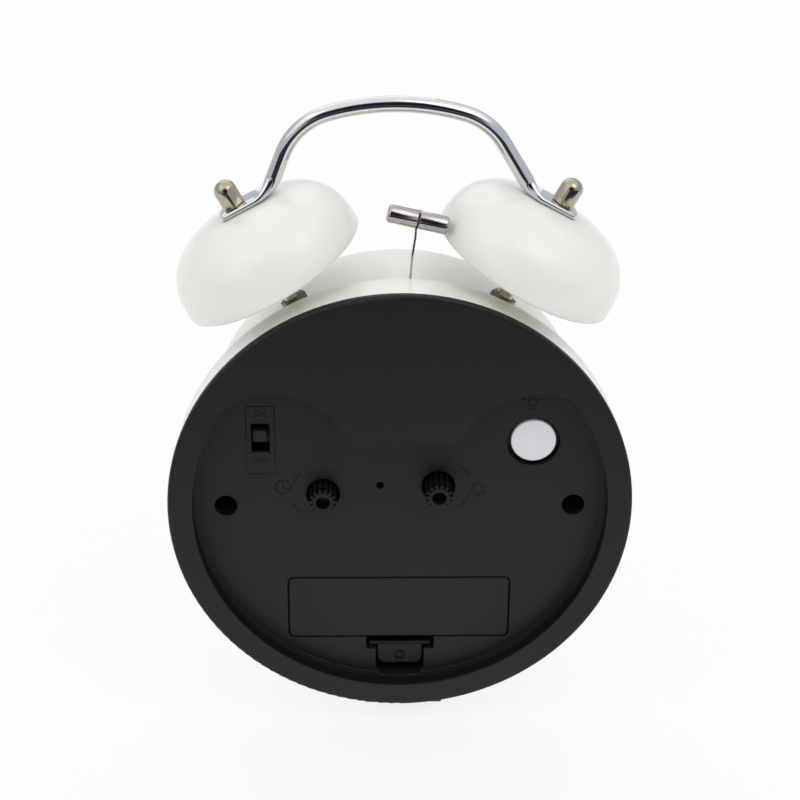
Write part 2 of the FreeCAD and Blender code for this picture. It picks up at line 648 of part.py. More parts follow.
fit = size("fit")
inter = (size(INTER_X), size(INTER_Z))
third = (size(THIRD_X), size(THIRD_Z))
rotor = (size(ROTOR_X), size(ROTOR_Z))
minute = (size(MINUTE_X), size(MINUTE_Z))
timer = (size("time_x"), size("time_z"))
waker = (size("alarm_x"), size("alarm_z"))
pivot = size("shaft_pivot") / 2
toward_inter = math.radians(290)
toward_third = math.radians(235)
toward_rotor = math.radians(215)
toward_minute = math.atan2(minute[1], minute[0])
toward_timer = math.atan2(timer[1] - minute[1], timer[0] - minute[0])
toward_waker = math.atan2(waker[1], waker[0])

# Seconds train: rotor, third wheel, second hand's arbor, intermediate and centre wheels.
second_pinion = 0.0
inter_wheel = meshing(toward_inter, second_pinion, 8, 60)
inter_pinion = 0.0
centre_phase = meshing(toward_inter + math.pi, inter_pinion, 8, 64)
second_wheel = 0.0
third_pinion = meshing(toward_third, second_wheel, 48, 8)
third_wheel = 0.0
rotor_phase = meshing(toward_rotor, third_wheel, 40, 8)
shape = rod(0.55, -47.85, -24.9).fuse([gear(8, 0.3, -33.8, -33, 0, 0, second_pinion),
                                       gear(48, 0.3, -32.4, -31.6, 0, 0, second_wheel),
                                       rod(1, -33, -31.6)])
finish("second_wheel", solid("SecondWheel", shape))
shape = rod(0.5, -41.3, -24.8, *inter).fuse([
    gear(60, 0.3, -33.8, -33, *inter, inter_wheel),
    gear(8, 0.2833, -35.4, -33.8, *inter, inter_pinion)])
finish("intermediate_wheel", solid("IntermediateWheel", shape))
shape = gear(64, 0.2833, -35.4, -34.6, 0, 0, centre_phase).cut(rod(1.55 + fit, -36, -34))
finish("centre_wheel", solid("CentreWheel", shape))
shape = gear(40, 0.3, -30.8, -30, *third, third_wheel).fuse(
    gear(8, 0.3, -32.4, -30.8, *third, third_pinion)).cut(rod(0.5 + fit, -33, -29, *third))
finish("third_wheel", solid("ThirdWheel", shape))
shape = rod(0.4, -41.3, -24.8, *rotor).fuse([gear(8, 0.3, -30.8, -30, *rotor, rotor_phase),
                                             rod(2.8, -29.5, -27, *rotor)])
finish("rotor", solid("Rotor", shape))

# Hand setting: time shaft, minute wheel with its pinion, minute tube and hour wheel.
cannon_phase = 0.0
minute_wheel = meshing(toward_minute, cannon_phase, 10, 30)
timer_phase = meshing(toward_timer, minute_wheel, 30, 10)
minute_pinion = 0.0
hour_phase = meshing(toward_minute + math.pi, minute_pinion, 8, 32)
shape = rod(1.55, -47.15, -34.4).fuse(gear(10, 0.5, -37.2, -36.2, 0, 0, cannon_phase))
shape = shape.cut(rod(0.55 + fit, -48, -34))
finish("minute_arbor", solid("MinuteArbor", shape))
shape = gear(30, 0.5, -37.2, -36.2, *minute, minute_wheel).fuse(
    gear(8, 0.5, -38.8, -37.2, *minute, minute_pinion)).cut(rod(0.75 + fit, -39, -36, *minute))
finish("minute_wheel", solid("MinuteWheel", shape))
shape = rod(2.55, -46.45, -37.8).fuse(gear(32, 0.5, -38.8, -37.8, 0, 0, hour_phase))
finish("hour_wheel", solid("HourWheel", shape.cut(rod(1.55 + fit, -47, -37))))
shape = gear(10, 0.5, -37.2, -36.2, *timer, timer_phase).fuse([
    rod(pivot, -41.3, -23.5, *timer),
    rod(size("knob_bore") / 2, -23.5, -1.5, *timer)])
finish("time_shaft", solid("TimeShaft", shape))

# Alarm setting: a shaft that turns the alarm tube and its hand.
alarm_module = 2 * math.hypot(*waker) / 44
waker_phase = 0.0
alarm_phase = meshing(toward_waker + math.pi, waker_phase, 10, 34)
shape = gear(10, alarm_module, -40.3, -39.3, *waker, waker_phase).fuse([
    rod(pivot, -41.3, -23.5, *waker),
    rod(size("knob_bore") / 2, -23.5, -0.3, *waker)])
finish("alarm_shaft", solid("AlarmShaft", shape))
shape = rod(3.7, -45.75, -39.3).fuse(gear(34, alarm_module, -40.3, -39.3, 0, 0, alarm_phase))
finish("alarm_wheel", solid("AlarmWheel", shape.cut(rod(2.55 + fit, -46, -39))))


# Knobs: sleeves with tapering teeth all round and a hole along them.
def knob(label, name, x, z, tip, front):
    """Knob between two depths on its shaft."""
    sleeve = cylinder(name + "Sleeve", "knob_root / 2", front, tip, x, z)
    teeth = []
    for index in range(int(size("knob_teeth"))):
        angle = 360 * index / size("knob_teeth")
        root = size("knob_root") / 2 - 0.15
        outer = size("knob_outer") / 2
        corners = []
        for radius, half in ((root, 0.42), (outer, 0.27), (outer, -0.27), (root, -0.42)):
            corners.append(Vector(radius, size(front), half))
        face = Part.Face(Part.makePolygon(corners + corners[:1]))
        tooth = face.extrude(Vector(0, size(tip) - size(front) - 0.35, 0))
        tooth.rotate(Vector(), Vector(0, 1, 0), angle)
        teeth.append(tooth)
    rim = Part.Compound(teeth)
    crown = solid(name + "Teeth", rim)
    locate(crown, x, "0", z)
    finish(label, cut(name, fuse(name + "Solid", sleeve, crown),
                      cylinder(name + "Bore", "knob_bore / 2", "-30", "9", x, z)))


knob("time_knob", "TimeKnob", "time_x", "time_z", "time_tip", "-8")
knob("alarm_knob", "AlarmKnob", "alarm_x", "alarm_z", "alarm_tip", "-8")

# Battery cover: a plate with two hooks above and a sprung finger tab below.
door_plate = box("Door", ("-door_half", "door_half"), ("floor_y - door_thick", "floor_y"),
                 ("door_foot", "door_top"))
parts = [rounded("DoorPlate", door_plate, 1.3, upright_edge)]
for across in ("-18", "18"):
    span = (across + " - 2", across + " + 2")
    parts.append(box("HookRoot", span, ("-6.6", "-5.3"), ("-23.2", "-22.4")))
    parts.append(box("Hook", span, ("-6.6", "-5.8"), ("-23.2", "-21.2")))
spring_span = ("-4.6", "3.9")
parts.append(box("SpringTop", spring_span, ("-9.3", "floor_y - 1"), ("-39.6", "-38.8")))
parts.append(box("SpringTurn", spring_span, ("-9.3", "-8.5"), ("tab_top - 0.8", "-38.8")))
parts.append(box("SpringFoot", spring_span, ("-9.3", "-5"), ("tab_top - 0.8", "tab_top")))
tab = box("TabPlate", ("latch_right + 0.5", "latch_left - 0.5"), ("-5.9", "-4.6"),
          ("tab_foot", "tab_top"))
parts.append(rounded("TabRound", tab, 2.2, lambda edge, middle: middle.z < -48
                     and upright_edge(edge, middle)))
parts.append(box("EarBar", ("latch_right - 1.8", "latch_left + 1.8"), ("-5.9", "-4.9"),
                 ("tab_top - 0.3", "tab_top + 0.7")))
groove = cut("TabGroove", cylinder("GrooveOuter", "1.5", "-5.2", "-4", "-0.35", "-46.2"),
             cylinder("GrooveInner", "0.75", "-6", "-3", "-0.35", "-46.2"))
finish("battery_cover", cut("BatteryCover", fuse("DoorSolid", *parts), groove))

# Battery with its contacts: the cell's plain end on the spring, its button on the plate.
cell = crosswise("CellRound", "cell_radius", "-24.9", "24.7", "cell_y", "cell_z")
nub = crosswise("CellNub", "2.6", "24.7", "25.8", "cell_y", "cell_z")
finish("battery_cell", fuse("Cell", cell, nub))
finish("battery_contact", box("Contact", ("25.8", "27.6"), ("-18.5", "-7.5"), ("-37", "-25")))
coil_cone = document.addObject("Part::Cone", "SpringCone")
bind(coil_cone, "Radius1", "4.5")
bind(coil_cone, "Radius2", "2.6")
bind(coil_cone, "Height", "2.7")
locate(coil_cone, "-27.6", "cell_y", "cell_z", ALONG_X)
finish("battery_spring", coil_cone)

# Striker: a frame plate on two cover bosses, a motor, its pinion and an eccentric wheel.
frame_plate = plate("FramePlate", [
    ("-15", "25.5"), ("14", "25.5"), ("14", "44"), ("-6", "44"), ("-15", "36"), ("-21.5", "36"),
    ("-21.5", "27.5"), ("-15", "27.5"),
], "-24", "-22")
bores = [cylinder("MotorBore", "1.2", "-25", "-21", "motor_x", "striker_z"),
         cylinder("PivotBore", "0.8", "-25", "-21", "pivot_x", "pivot_z")]
screws = []
for across, up in (("-18.5", "31"), ("11.2", "41")):
    bores.append(cylinder("FrameBore", "1.2", "-25", "-21", across, up))
    screws.append(cylinder("FrameHead", "2.2", "-25.6", "-24", across, up))
    screws.append(cylinder("FrameThread", "1.2", "-24", "-15", across, up))
stud = cylinder("StrikerStud", "1", "-22.5", "-18.9", "striker_x", "striker_z")
rest = cylinder("StrikerRest", "2", "-22.5", "-21.6", "striker_x", "striker_z")
finish("striker_frame", cut("StrikerFrame", fuse("FrameWithStud", frame_plate, stud, rest),
                            *bores))
finish("inner_screws", fuse("InnerScrews", *small_screws, *screws))
motor = fuse("MotorSolid", cylinder("Motor", "7.5", "-40", "-24", "motor_x", "striker_z"),
             cylinder("MotorEnd", "3", "-41.2", "-40", "motor_x", "striker_z"))
finish("striker_motor", cut("StrikerMotor", motor, cylinder("ShaftSpace", "1.05", "-25", "-23",
                                                            "motor_x", "striker_z")))
motor_at = (size("motor_x"), size("striker_z"))
striker_at = (size("striker_x"), size("striker_z"))
motor_phase = 0.0
striker_phase = meshing(0.0, motor_phase, 8, 28)
shape = gear(8, 0.5, -21.5, -19.3, *motor_at, motor_phase).fuse(rod(1, -24.8, -19.3,
                                                                   *motor_at))
finish("striker_pinion", solid("StrikerPinion", shape))
shape = gear(28, 0.5, -21.5, -19.5, *striker_at, striker_phase).fuse(
    rod(0.75, -20, -13.8, striker_at[0] + 3, striker_at[1])).cut(
    rod(1 + fit, -22, -19, *striker_at))
finish("striker_wheel", solid("StrikerWheel", shape))

# Hammer: a spring strip on a pivot, clamped between the two halves of the steel head.
pin = [cylinder("PivotPin", "0.8", "-24", "-13", "pivot_x", "pivot_z"),
       cylinder("PivotSleeve", "1.5", "-22", "-16.6", "pivot_x", "pivot_z"),
       cylinder("PivotHead", "1.6", "-13.3", "-12.7", "pivot_x", "pivot_z")]
finish("hammer_pivot", fuse("HammerPivot", *pin))
depth = (size("hammer_y - arm_wide / 2"), size("arm_wide"))
half = size("arm_thick") / 2
head_at = (size("hammer_x"), size("hammer_z"))
tilt = math.radians(size("hammer_tilt"))
along = (math.cos(tilt), math.sin(tilt))
across_head = (-math.sin(tilt), math.cos(tilt))
line = [(-1.62, 32), (-2.0, 37.5), (size("pivot_x"), 41), (-2.2, 50), (-2.3, 56.5), (-2.75, 62.5),
        (-3.45, 67.4), (head_at[0] - 2.4 * across_head[0], head_at[1] - 2.4 * across_head[1]),
        (head_at[0] + 2.1 * across_head[0], head_at[1] + 2.1 * across_head[1])]
sides = ([], [])
for index, (x, z) in enumerate(line):
    before = line[max(index - 1, 0)]
    after = line[min(index + 1, len(line) - 1)]
    if index == len(line) - 2:
        before = (x - across_head[0], z - across_head[1])
        after = (x + across_head[0], z + across_head[1])
    length = math.hypot(after[0] - before[0], after[1] - before[1])
    normal = ((after[1] - before[1]) / length, -(after[0] - before[0]) / length)
    sides[0].append(Vector(x + half * normal[0], depth[0], z + half * normal[1]))
    sides[1].append(Vector(x - half * normal[0], depth[0], z - half * normal[1]))
corners = sides[0] + sides[1][::-1]
strip = Part.Face(Part.makePolygon(corners + corners[:1])).extrude(Vector(0, depth[1], 0))
hub = cylinder("ArmHub", "2.4", "-16.3", "-13.6", "pivot_x", "pivot_z")
finish("hammer_arm", cut("HammerArm", fuse("ArmSolid", solid("ArmStrip", strip), hub),
                         cylinder("ArmBore", "0.8 + fit", "-18", "-12", "pivot_x", "pivot_z")))
halves = []
for side in (1, -1):
    radius = size("hammer_radius")
    length = size("hammer_half")
    start = Vector(head_at[0] + side * half * along[0], size("hammer_y"),
                   head_at[1] + side * half * along[1])
    direction = Vector(side * along[0], 0, side * along[1])
    barrel = Part.makeCylinder(radius, length, start, direction)
    end = start + direction * length
    rims = [edge for edge in barrel.Edges if edge.Closed
            and edge.Curve.TypeId == "Part::GeomCircle"
            and edge.Curve.Center.distanceToPoint(end) < 1e-6]
    halves.append(barrel.makeChamfer(0.6, rims))
finish("hammer_head", solid("HammerHead", Part.Compound(halves)))


# Bells: domes with a steep skirt and a mouth drawn in, each on its own slanted axis.
def dome(radius, rise, girth, mouth, lip):
    """Solid of revolution inside a bell's curve, about the local Z axis."""
    power = size("bell_curve")
    steps = 12
    curve = []
    for index in range(steps + 1):
        angle = math.pi / 2 * index / steps
        x = radius * math.sin(angle) ** (2 / power)
        z = girth + rise * math.cos(angle) ** (2 / power)
        curve.append(Vector(x, 0, z))
    spline = Part.BSplineCurve()
    spline.interpolate(curve, InitialTangent=Vector(1, 0, 0), FinalTangent=Vector(0, 0, -1))
    tuck = Part.Arc(Vector(radius, 0, girth),
                    Vector(radius - (radius - mouth) * 0.27, 0, girth - (girth - lip) * 0.52),
                    Vector(mouth, 0, lip))
    edges = [spline.toShape(), tuck.toShape(),
             Part.makeLine(Vector(mouth, 0, lip), Vector(0, 0, lip)),
             Part.makeLine(Vector(0, 0, lip), curve[0])]
    return Part.Face(Part.Wire(edges)).revolve(Vector(), Vector(0, 0, 1), 360)


wall = size("bell_wall")
girth = size("bell_girth")
outer = dome(size("bell_radius"), size("bell_crown") - girth, girth, size("bell_mouth"),
             size("bell_lip"))
inner = dome(size("bell_radius") - wall, size("bell_crown") - girth - wall, girth,
             size("bell_mouth") - wall, size("bell_lip"))
for side, angle in SIDES:
    name = "LeftBell" if side > 0 else "RightBell"
    shell = cut(name, solid(name + "Outer", outer.copy()), solid(name + "Inner", inner.copy()),
                upright(name + "Hole", "stud_radius", "60", "90"))
    finish("left_bell" if side > 0 else "right_bell", shell, Vector(0, side, 0), angle, "bell_y")

# Posts, nuts and washers that hold the bells, and the acorn nuts above the handle.
shoulder = "bell_crown - bell_wall - 0.05"
posts = []
nuts = []
washers = []
acorns = []
locks = []
drum = cylinder("DrumForm", "drum_radius", "-60", "0")
for side, angle in SIDES:
    where = (angle, side, "bell_y")
    posts.append(slanted("Shank", "post_radius", "post_start", shoulder, *where))
    posts.append(slanted("Stud", "stud_radius", shoulder, "bell_crown + 7", *where))
    washers.append(cut("Washer", slanted("WasherRound", "4", "49", "51.4", *where), drum,
                       slanted("WasherBore", "post_radius", "48", "53", *where)))
    nut = lean(prism("PostNut", "nut_flat", "0", "2.9"), "51.4", *where)
    nuts.append(cut("PostNutCut", nut, slanted("NutBore", "post_radius", "50", "56", *where)))
    lock = lean(prism("LockNut", "nut_flat + 1", "0", "2.6"), "46.5", *where)
    locks.append(cut("LockCut", lock, slanted("LockBore", "post_radius", "45", "50", *where)))
    cap = prism("AcornHex", "acorn_flat", "0", "acorn_height")
    cap.Placement = FreeCAD.Placement(Vector(), FreeCAD.Rotation(Vector(0, 0, 1), 10))
    bind(cap, "Placement.Rotation.Angle", "acorn_left" if side > 0 else "acorn_right")
    body = turned("AcornBody%d" % (side + 1), [
        ("0", "0"),
        ("acorn_body", "0"),
        ("acorn_body", "acorn_height"),
        ("0", "acorn_height"),
    ], rounds=((2, "acorn_body - 0.1"),), role="XZ_Plane")
    acorn = cut("Acorn", common("AcornSolid", cap, body),
                upright("AcornBore", "stud_radius", "-1", "5.6"))
    acorns.append(lean(acorn, "bell_crown + strap_thick + 0.06", *where))
finish("bell_posts", fuse("BellPosts", *posts))
finish("post_washers", fuse("PostWashers", *washers))
finish("post_nuts", fuse("PostNuts", *nuts))
finish("acorn_nuts", fuse("AcornNuts", *acorns))

# Front legs with ball feet, and the rear foot under the band.
legs = []
ball_at = "(axis_height - leg_ball) / cos(leg_angle)"
for side in (1, -1):
    where = ("180 - leg_angle", side, "leg_y")
    cone = document.addObject("Part::Cone", "LegCone")
    bind(cone, "Radius1", "3.4")
    bind(cone, "Radius2", "2.2")
    bind(cone, "Height", ball_at + " - 49")
    lean(cone, "49", *where)
    ball = document.addObject("Part::Sphere", "LegBall")
    bind(ball, "Radius", "leg_ball")
    lean(ball, ball_at, *where)
    legs.append(cut("LegSolid", fuse("LegOuter", cone, ball), drum))
    legs.append(slanted("LegStud", "2", "45.6", "51", *where))
    lock = lean(prism("LegNut", "nut_flat + 1", "0", "2.6"), "46.5", *where)
    locks.append(cut("LegNutCut", lock, slanted("LegNutBore", "2", "45", "50", *where)))
finish("front_legs", fuse("FrontLegs", *legs))
finish("lock_nuts", fuse("LockNuts", *locks))
foot = box("FootBlock", ("foot_right", "foot_left"), ("foot_front", "foot_rear"),
           ("-axis_height", "-54"))
peg = slanted("FootPeg", "1.5", "band_radius - case_wall", "58", "180", 1,
              "(foot_rear + foot_front) / 2")
band = cylinder("BandForm", "band_radius", "-20", "0")
finish("rear_foot", fuse("FootForm", cut("FootCut", foot, band), peg))


# Handle: a rod bent over the clock, flattened at both ends where the studs pass through.
def outline(across, through, power):
    """Closed outline about the origin: a circle, or an oval that nears a rectangle."""
    if across == through:
        return Part.Wire(Part.makeCircle(across))
    points = []
    for index in range(32):
        angle = math.pi * index / 16
        cosine = math.cos(angle)
        sine = math.sin(angle)
        points.append(Vector(math.copysign(across * abs(cosine) ** (2 / power), cosine),
                             math.copysign(through * abs(sine) ** (2 / power), sine), 0))
    curve = Part.BSplineCurve()
    curve.interpolate(points, PeriodicFlag=True)
    return Part.Wire(curve.toShape())


def strap(side, beta, level, start, last):
    """Flat end of the handle from its last bend section to beyond the post."""
    flat = Vector(side * math.cos(beta), 0, -math.sin(beta))
    post = Vector(side * level * math.sin(beta), 0, level * math.cos(beta))
    reach = (post - start).dot(flat) + size("strap_end")
    half = size("strap_wide") / 2 + 0.05
    trim = Part.makeBox(reach + 1, 2 * half, 4, Vector(-1, -half, -2))
    corners = [edge for edge in trim.Edges
               if all(abs(point.X - reach) < 1e-6 for point in edge.Vertexes)
               and abs(edge.Length - 4) < 1e-6]
    trim = trim.makeFillet(1.2, corners)
    trim.Placement = FreeCAD.Placement(start, FreeCAD.Rotation(flat, Vector(0, 1, 0), Vector(),
                                                               "XYZ"))
    bore = Part.makeCylinder(size("stud_radius"), 9, post * (1 - 4.5 / level), post)
    return Part.Face(last).extrude(flat * (reach + 1)).common(trim).cut(bore)


def handle_end(side, beta, level, foot, elbow):
    """One end of the handle, and the point where its bend begins."""
    radius = size("rod_radius")
    bend = size("handle_bend")
    slope = math.atan2(foot[1] - elbow[1], foot[0] - elbow[0])
    swing = -beta - slope
    near = bend * math.tan(swing / 2)
    begin = (foot[0] - near * math.cos(slope), foot[1] - near * math.sin(slope))
    sections = []
    count = 7
    for index in range(count):
        part = index / (count - 1)
        heading = slope + swing * part
        place = Vector(side * (begin[0] + bend * (math.sin(heading) - math.sin(slope))), 0,
                       begin[1] - bend * (math.cos(heading) - math.cos(slope)))
        ring = outline(radius + (size("strap_wide") / 2 - radius) * part,
                       radius + (size("strap_thick") / 2 - radius) * part, 2 + 8 * part ** 2)
        ahead = Vector(side * math.cos(heading), 0, math.sin(heading))
        ring.Placement = FreeCAD.Placement(place, FreeCAD.Rotation(Vector(0, 1, 0), Vector(),
                                                                   ahead, "ZXY"))
        sections.append(ring)
    bent = Part.makeLoft(sections, True, False)
    return bent.fuse(strap(side, beta, level, place, sections[-1])), begin


def handle_shape():
    """The whole handle in the plane of the bells."""
    top = Vector(size("handle_lean"), 0, size("handle_top"))
    turn = math.radians(size("handle_turn"))
    arc = size("handle_arc")
    corner = size("handle_corner")
    level = size("bell_crown + strap_thick / 2 + 0.03")
    paths = []
    ends = []
    for side, angle in SIDES:
        beta = math.radians(size(angle))
        foot = (size("bend_x"), (level - size("bend_x") * math.sin(beta)) / math.cos(beta))
        centre = (side * top.x, top.z - arc)
        knee = (centre[0] + arc * math.sin(turn), centre[1] + arc * math.cos(turn))
        hub = (knee[0] - corner * math.sin(turn), knee[1] - corner * math.cos(turn))
        reach = math.hypot(foot[0] - hub[0], foot[1] - hub[1])
        leave = math.atan2(foot[1] - hub[1], foot[0] - hub[0]) + math.acos(corner / reach)
        middle = (math.pi / 2 - turn + leave) / 2
        shoulder = (hub[0] + corner * math.cos(middle), hub[1] + corner * math.sin(middle))
        elbow = (hub[0] + corner * math.cos(leave), hub[1] + corner * math.sin(leave))
        end, begin = handle_end(side, beta, level, foot, elbow)
        ends.append(end)
        paths.append([Vector(side * x, 0, z) for x, z in (knee, shoulder, elbow, begin)])
    left, right = paths
    spine = Part.Wire([Part.makeLine(left[3], left[2]),
                       Part.Arc(left[2], left[1], left[0]).toShape(),
                       Part.Arc(left[0], top, right[0]).toShape(),
                       Part.Arc(right[0], right[1], right[2]).toShape(),
                       Part.makeLine(right[2], right[3])])
    ring = Part.Wire(Part.makeCircle(size("rod_radius"), left[3], left[2] - left[3]))
    return spine.makePipeShell([ring], True, True).fuse(ends)


finish("handle", solid("Handle", handle_shape()), y="bell_y")

# Alarm switch: a body behind the panel and its slider, whose nub stands in the slot.
body = box("SwitchBox", ("30.6", "38.7"), ("-10.5", "-5.5"), ("10", "26"))
finish("switch_body", cut("SwitchBody", body, box("SwitchRoom", ("32.2", "37.1"),
                                                  ("-8.7", "-5"), ("12.6", "23.6"))))
slide = box("SlideBase", ("switch_x - 2.15", "switch_x + 2.15"), ("-8.4", "-5.9"),
            ("switch_z - 2.5", "switch_z + 3.5"))
nub = box("SlideNub", ("switch_x - 1.55", "switch_x + 1.75"), ("-6", "-2.6"),
          ("switch_z - 0.4", "switch_z + 2.4"))
finish("alarm_switch", fuse("AlarmSwitch", slide, nub))

# Light button with its flange, plunger, push switch and board.
button = [cylinder("ButtonCap", "button_face / 2", "-6", "-3.9", "button_x", "button_z"),
          cylinder("ButtonFlange", "7.3", "-7", "-5.8", "button_x", "button_z"),
          cylinder("ButtonStem", "2.5", "-8.2", "-6.9", "button_x", "button_z")]
finish("light_button", fuse("LightButton", *button))
finish("light_plunger", cylinder("LightPlunger", "1.5", "-10.6", "-8.2", "button_x",
                                 "button_z"))
finish("light_switch", cut("LightSwitch",
                           box("PushBox", ("button_x - 3.1", "button_x + 3.1"),
                               ("-13.5", "-9.8"), ("button_z - 3.1", "button_z + 3.1")),
                           cylinder("PushRoom", "1.5 + fit", "-12.2", "-9", "button_x",
                                    "button_z")))
finish("switch_board", box("SwitchBoard", ("-42", "-24"), ("-14.7", "-13.5"), ("8", "25.5")))

document.recompute()
for thing in document.Objects:
    if "Invalid" in thing.State or "Error" in thing.State:
        raise SystemExit("%s failed: %s" % (thing.Name, thing.State))
for piece in pieces:
    if piece.Shape.isNull() or not piece.Shape.isValid():
        raise SystemExit("%s has no valid shape" % piece.Label)

os.makedirs("parts", exist_ok=True)
for piece in pieces:
    piece.Shape.exportStep("parts/%s.step" % piece.Label)
    bounds = piece.Shape.BoundBox
    print("%-20s %2d solids %9.1f mm3  %s" % (
        piece.Label, len(piece.Shape.Solids), piece.Shape.Volume,
        " ".join("%.2f" % value for value in (bounds.XMin, bounds.XMax, bounds.YMin,
                                              bounds.YMax, bounds.ZMin, bounds.ZMax))))
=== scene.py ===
import bmesh
import bpy
import math
from mathutils import Matrix, Vector


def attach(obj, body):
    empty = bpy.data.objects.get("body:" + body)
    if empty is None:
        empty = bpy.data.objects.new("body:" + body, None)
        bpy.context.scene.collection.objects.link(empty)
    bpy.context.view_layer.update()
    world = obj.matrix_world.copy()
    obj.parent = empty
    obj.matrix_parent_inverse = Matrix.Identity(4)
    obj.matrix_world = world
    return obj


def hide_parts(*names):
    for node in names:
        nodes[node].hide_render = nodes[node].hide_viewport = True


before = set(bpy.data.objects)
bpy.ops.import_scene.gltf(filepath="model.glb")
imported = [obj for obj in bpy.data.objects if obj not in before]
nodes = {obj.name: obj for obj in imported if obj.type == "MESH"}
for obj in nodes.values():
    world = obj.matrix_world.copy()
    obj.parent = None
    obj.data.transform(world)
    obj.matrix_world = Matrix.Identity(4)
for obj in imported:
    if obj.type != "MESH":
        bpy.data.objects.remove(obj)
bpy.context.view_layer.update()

# Camera: it stands behind the clock and a little above it, as for a product shot from
# 0.4 m away. The numbers place the rear rim and the handle where the photograph has them.
camera_data = bpy.data.cameras.new("camera")
camera_data.sensor_width = 36
camera_data.lens = 90
camera_data.clip_start = 0.01
camera = bpy.data.objects.new("camera", camera_data)
bpy.context.scene.collection.objects.link(camera)
bpy.context.scene.camera = camera
camera_place = Vector((0.0119, 0.4613, 0.3045))
camera_target = Vector((0.00031, 0.0235, 0.09214))
camera_roll = math.radians(-0.545)
looking = (camera_target - camera_place).normalized()
level_right = looking.cross(Vector((0, 0, 1))).normalized()
level_down = looking.cross(level_right)
camera_right = math.cos(camera_roll) * level_right + math.sin(camera_roll) * level_down
camera_down = looking.cross(camera_right)
camera.matrix_world = Matrix((
    (camera_right.x, -camera_down.x, -looking.x, camera_place.x),
    (camera_right.y, -camera_down.y, -looking.y, camera_place.y),
    (camera_right.z, -camera_down.z, -looking.z, camera_place.z),
    (0, 0, 0, 1)))


# Table and backdrop: one plain pale sweep of seamless paper, which runs out flat under the
# clock and is white to the camera, while it keeps the clock's shadow. The room is white too,
# and polished metal picks up its dark doorway and the dark floor beyond the paper.
def linear(colour):
    """Linear red, green, blue and alpha of a hex colour."""
    parts = [int(colour[at:at + 2], 16) / 255 for at in (1, 3, 5)]
    return tuple(part / 12.92 if part <= 0.04045 else ((part + 0.055) / 1.055) ** 2.4
                 for part in parts) + (1.0,)


def add_node(tree, kind, settings=None, values=None, links=None):
    """Adds one shader node with its settings, its socket values and its links."""
    item = tree.nodes.new(kind)
    for name, value in (settings or {}).items():
        setattr(item, name, value)
    for name, value in (values or {}).items():
        item.inputs[name].default_value = value
    for name, socket in (links or {}).items():
        tree.links.new(socket, item.inputs[name])
    return item


def new_material(name):
    """An empty node material and its node tree."""
    material = bpy.data.materials.new(name)
    material.use_nodes = True
    material.node_tree.nodes.clear()
    return material, material.node_tree


paper, tree = new_material("seamless_paper")
rays = add_node(tree, "ShaderNodeLightPath")
part = add_node(tree, "ShaderNodeMath", {"operation": "MULTIPLY"}, {1: 0.84},
                {0: rays.outputs["Is Camera Ray"]})
seen = add_node(tree, "ShaderNodeMath", {"operation": "MAXIMUM"},
                links={0: rays.outputs["Is Glossy Ray"], 1: rays.outputs["Is Transmission Ray"]})
share = add_node(tree, "ShaderNodeMath", {"operation": "MAXIMUM"},
                 links={0: part.outputs[0], 1: seen.outputs[0]})
place = add_node(tree, "ShaderNodeTexCoord")
spot = add_node(tree, "ShaderNodeSeparateXYZ", links={"Vector": place.outputs["Object"]})
beyond = add_node(tree, "ShaderNodeMapRange", {"interpolation_type": "SMOOTHSTEP"},
                  {"From Min": 0.23, "From Max": 0.3}, {"Value": spot.outputs["Y"]})
away = add_node(tree, "ShaderNodeMath", {"operation": "MULTIPLY"},
                links={0: beyond.outputs[0], 1: rays.outputs["Is Glossy Ray"]})
tint = add_node(tree, "ShaderNodeValToRGB", links={"Fac": away.outputs[0]})
tint.color_ramp.elements[0].color = linear("#FFFFFF")
tint.color_ramp.elements[1].color = linear("#34343F")
matt = add_node(tree, "ShaderNodeBsdfDiffuse", values={"Color": linear("#F4F4F3")})
glow = add_node(tree, "ShaderNodeEmission", values={"Strength": 1.0},
                links={"Color": tint.outputs["Color"]})
mixed = add_node(tree, "ShaderNodeMixShader",
                 links={0: share.outputs[0], 1: matt.outputs[0], 2: glow.outputs[0]})
add_node(tree, "ShaderNodeOutputMaterial", links={"Surface": mixed.outputs[0]})
bpy.ops.object.select_all(action="DESELECT")
bpy.ops.mesh.primitive_plane_add(size=6, location=(0, 0, 0))
table = bpy.context.object
table.name = "table"
table.data.materials.append(paper)

world = bpy.data.worlds.new("room")
bpy.context.scene.world = world
world.use_nodes = True
world.node_tree.nodes.clear()
tree = world.node_tree
rays = add_node(tree, "ShaderNodeLightPath")
facing = add_node(tree, "ShaderNodeTexCoord")
height = add_node(tree, "ShaderNodeSeparateXYZ", links={"Vector": facing.outputs["Generated"]})
walls = add_node(tree, "ShaderNodeMapRange", {"interpolation_type": "SMOOTHSTEP"},
                 {"From Min": 0.45, "From Max": 0.75, "To Min": 0.72, "To Max": 1.02},
                 {"Value": height.outputs["Z"]})
cool = add_node(tree, "ShaderNodeValToRGB", links={"Fac": height.outputs["Z"]})
cool.color_ramp.elements[0].position = 0.4
cool.color_ramp.elements[0].color = linear("#EAEDFC")
cool.color_ramp.elements[1].position = 0.75
cool.color_ramp.elements[1].color = linear("#FFFFFF")
toward_doorway = (0.0, 0.927, 0.375)
toward = add_node(tree, "ShaderNodeVectorMath", {"operation": "DOT_PRODUCT"},
                  {1: toward_doorway}, {0: facing.outputs["Generated"]})
gloom = add_node(tree, "ShaderNodeMapRange", {"interpolation_type": "SMOOTHSTEP"},
                 {"From Min": 0.84, "From Max": 0.95}, {"Value": toward.outputs["Value"]})
doorway = add_node(tree, "ShaderNodeMath", {"operation": "MULTIPLY"},
                   links={0: gloom.outputs[0], 1: rays.outputs["Is Glossy Ray"]})
tint = add_node(tree, "ShaderNodeValToRGB", links={"Fac": doorway.outputs[0]})
tint.color_ramp.elements[0].color = linear("#FFFFFF")
tint.color_ramp.elements[1].color = linear("#2A2A3A")
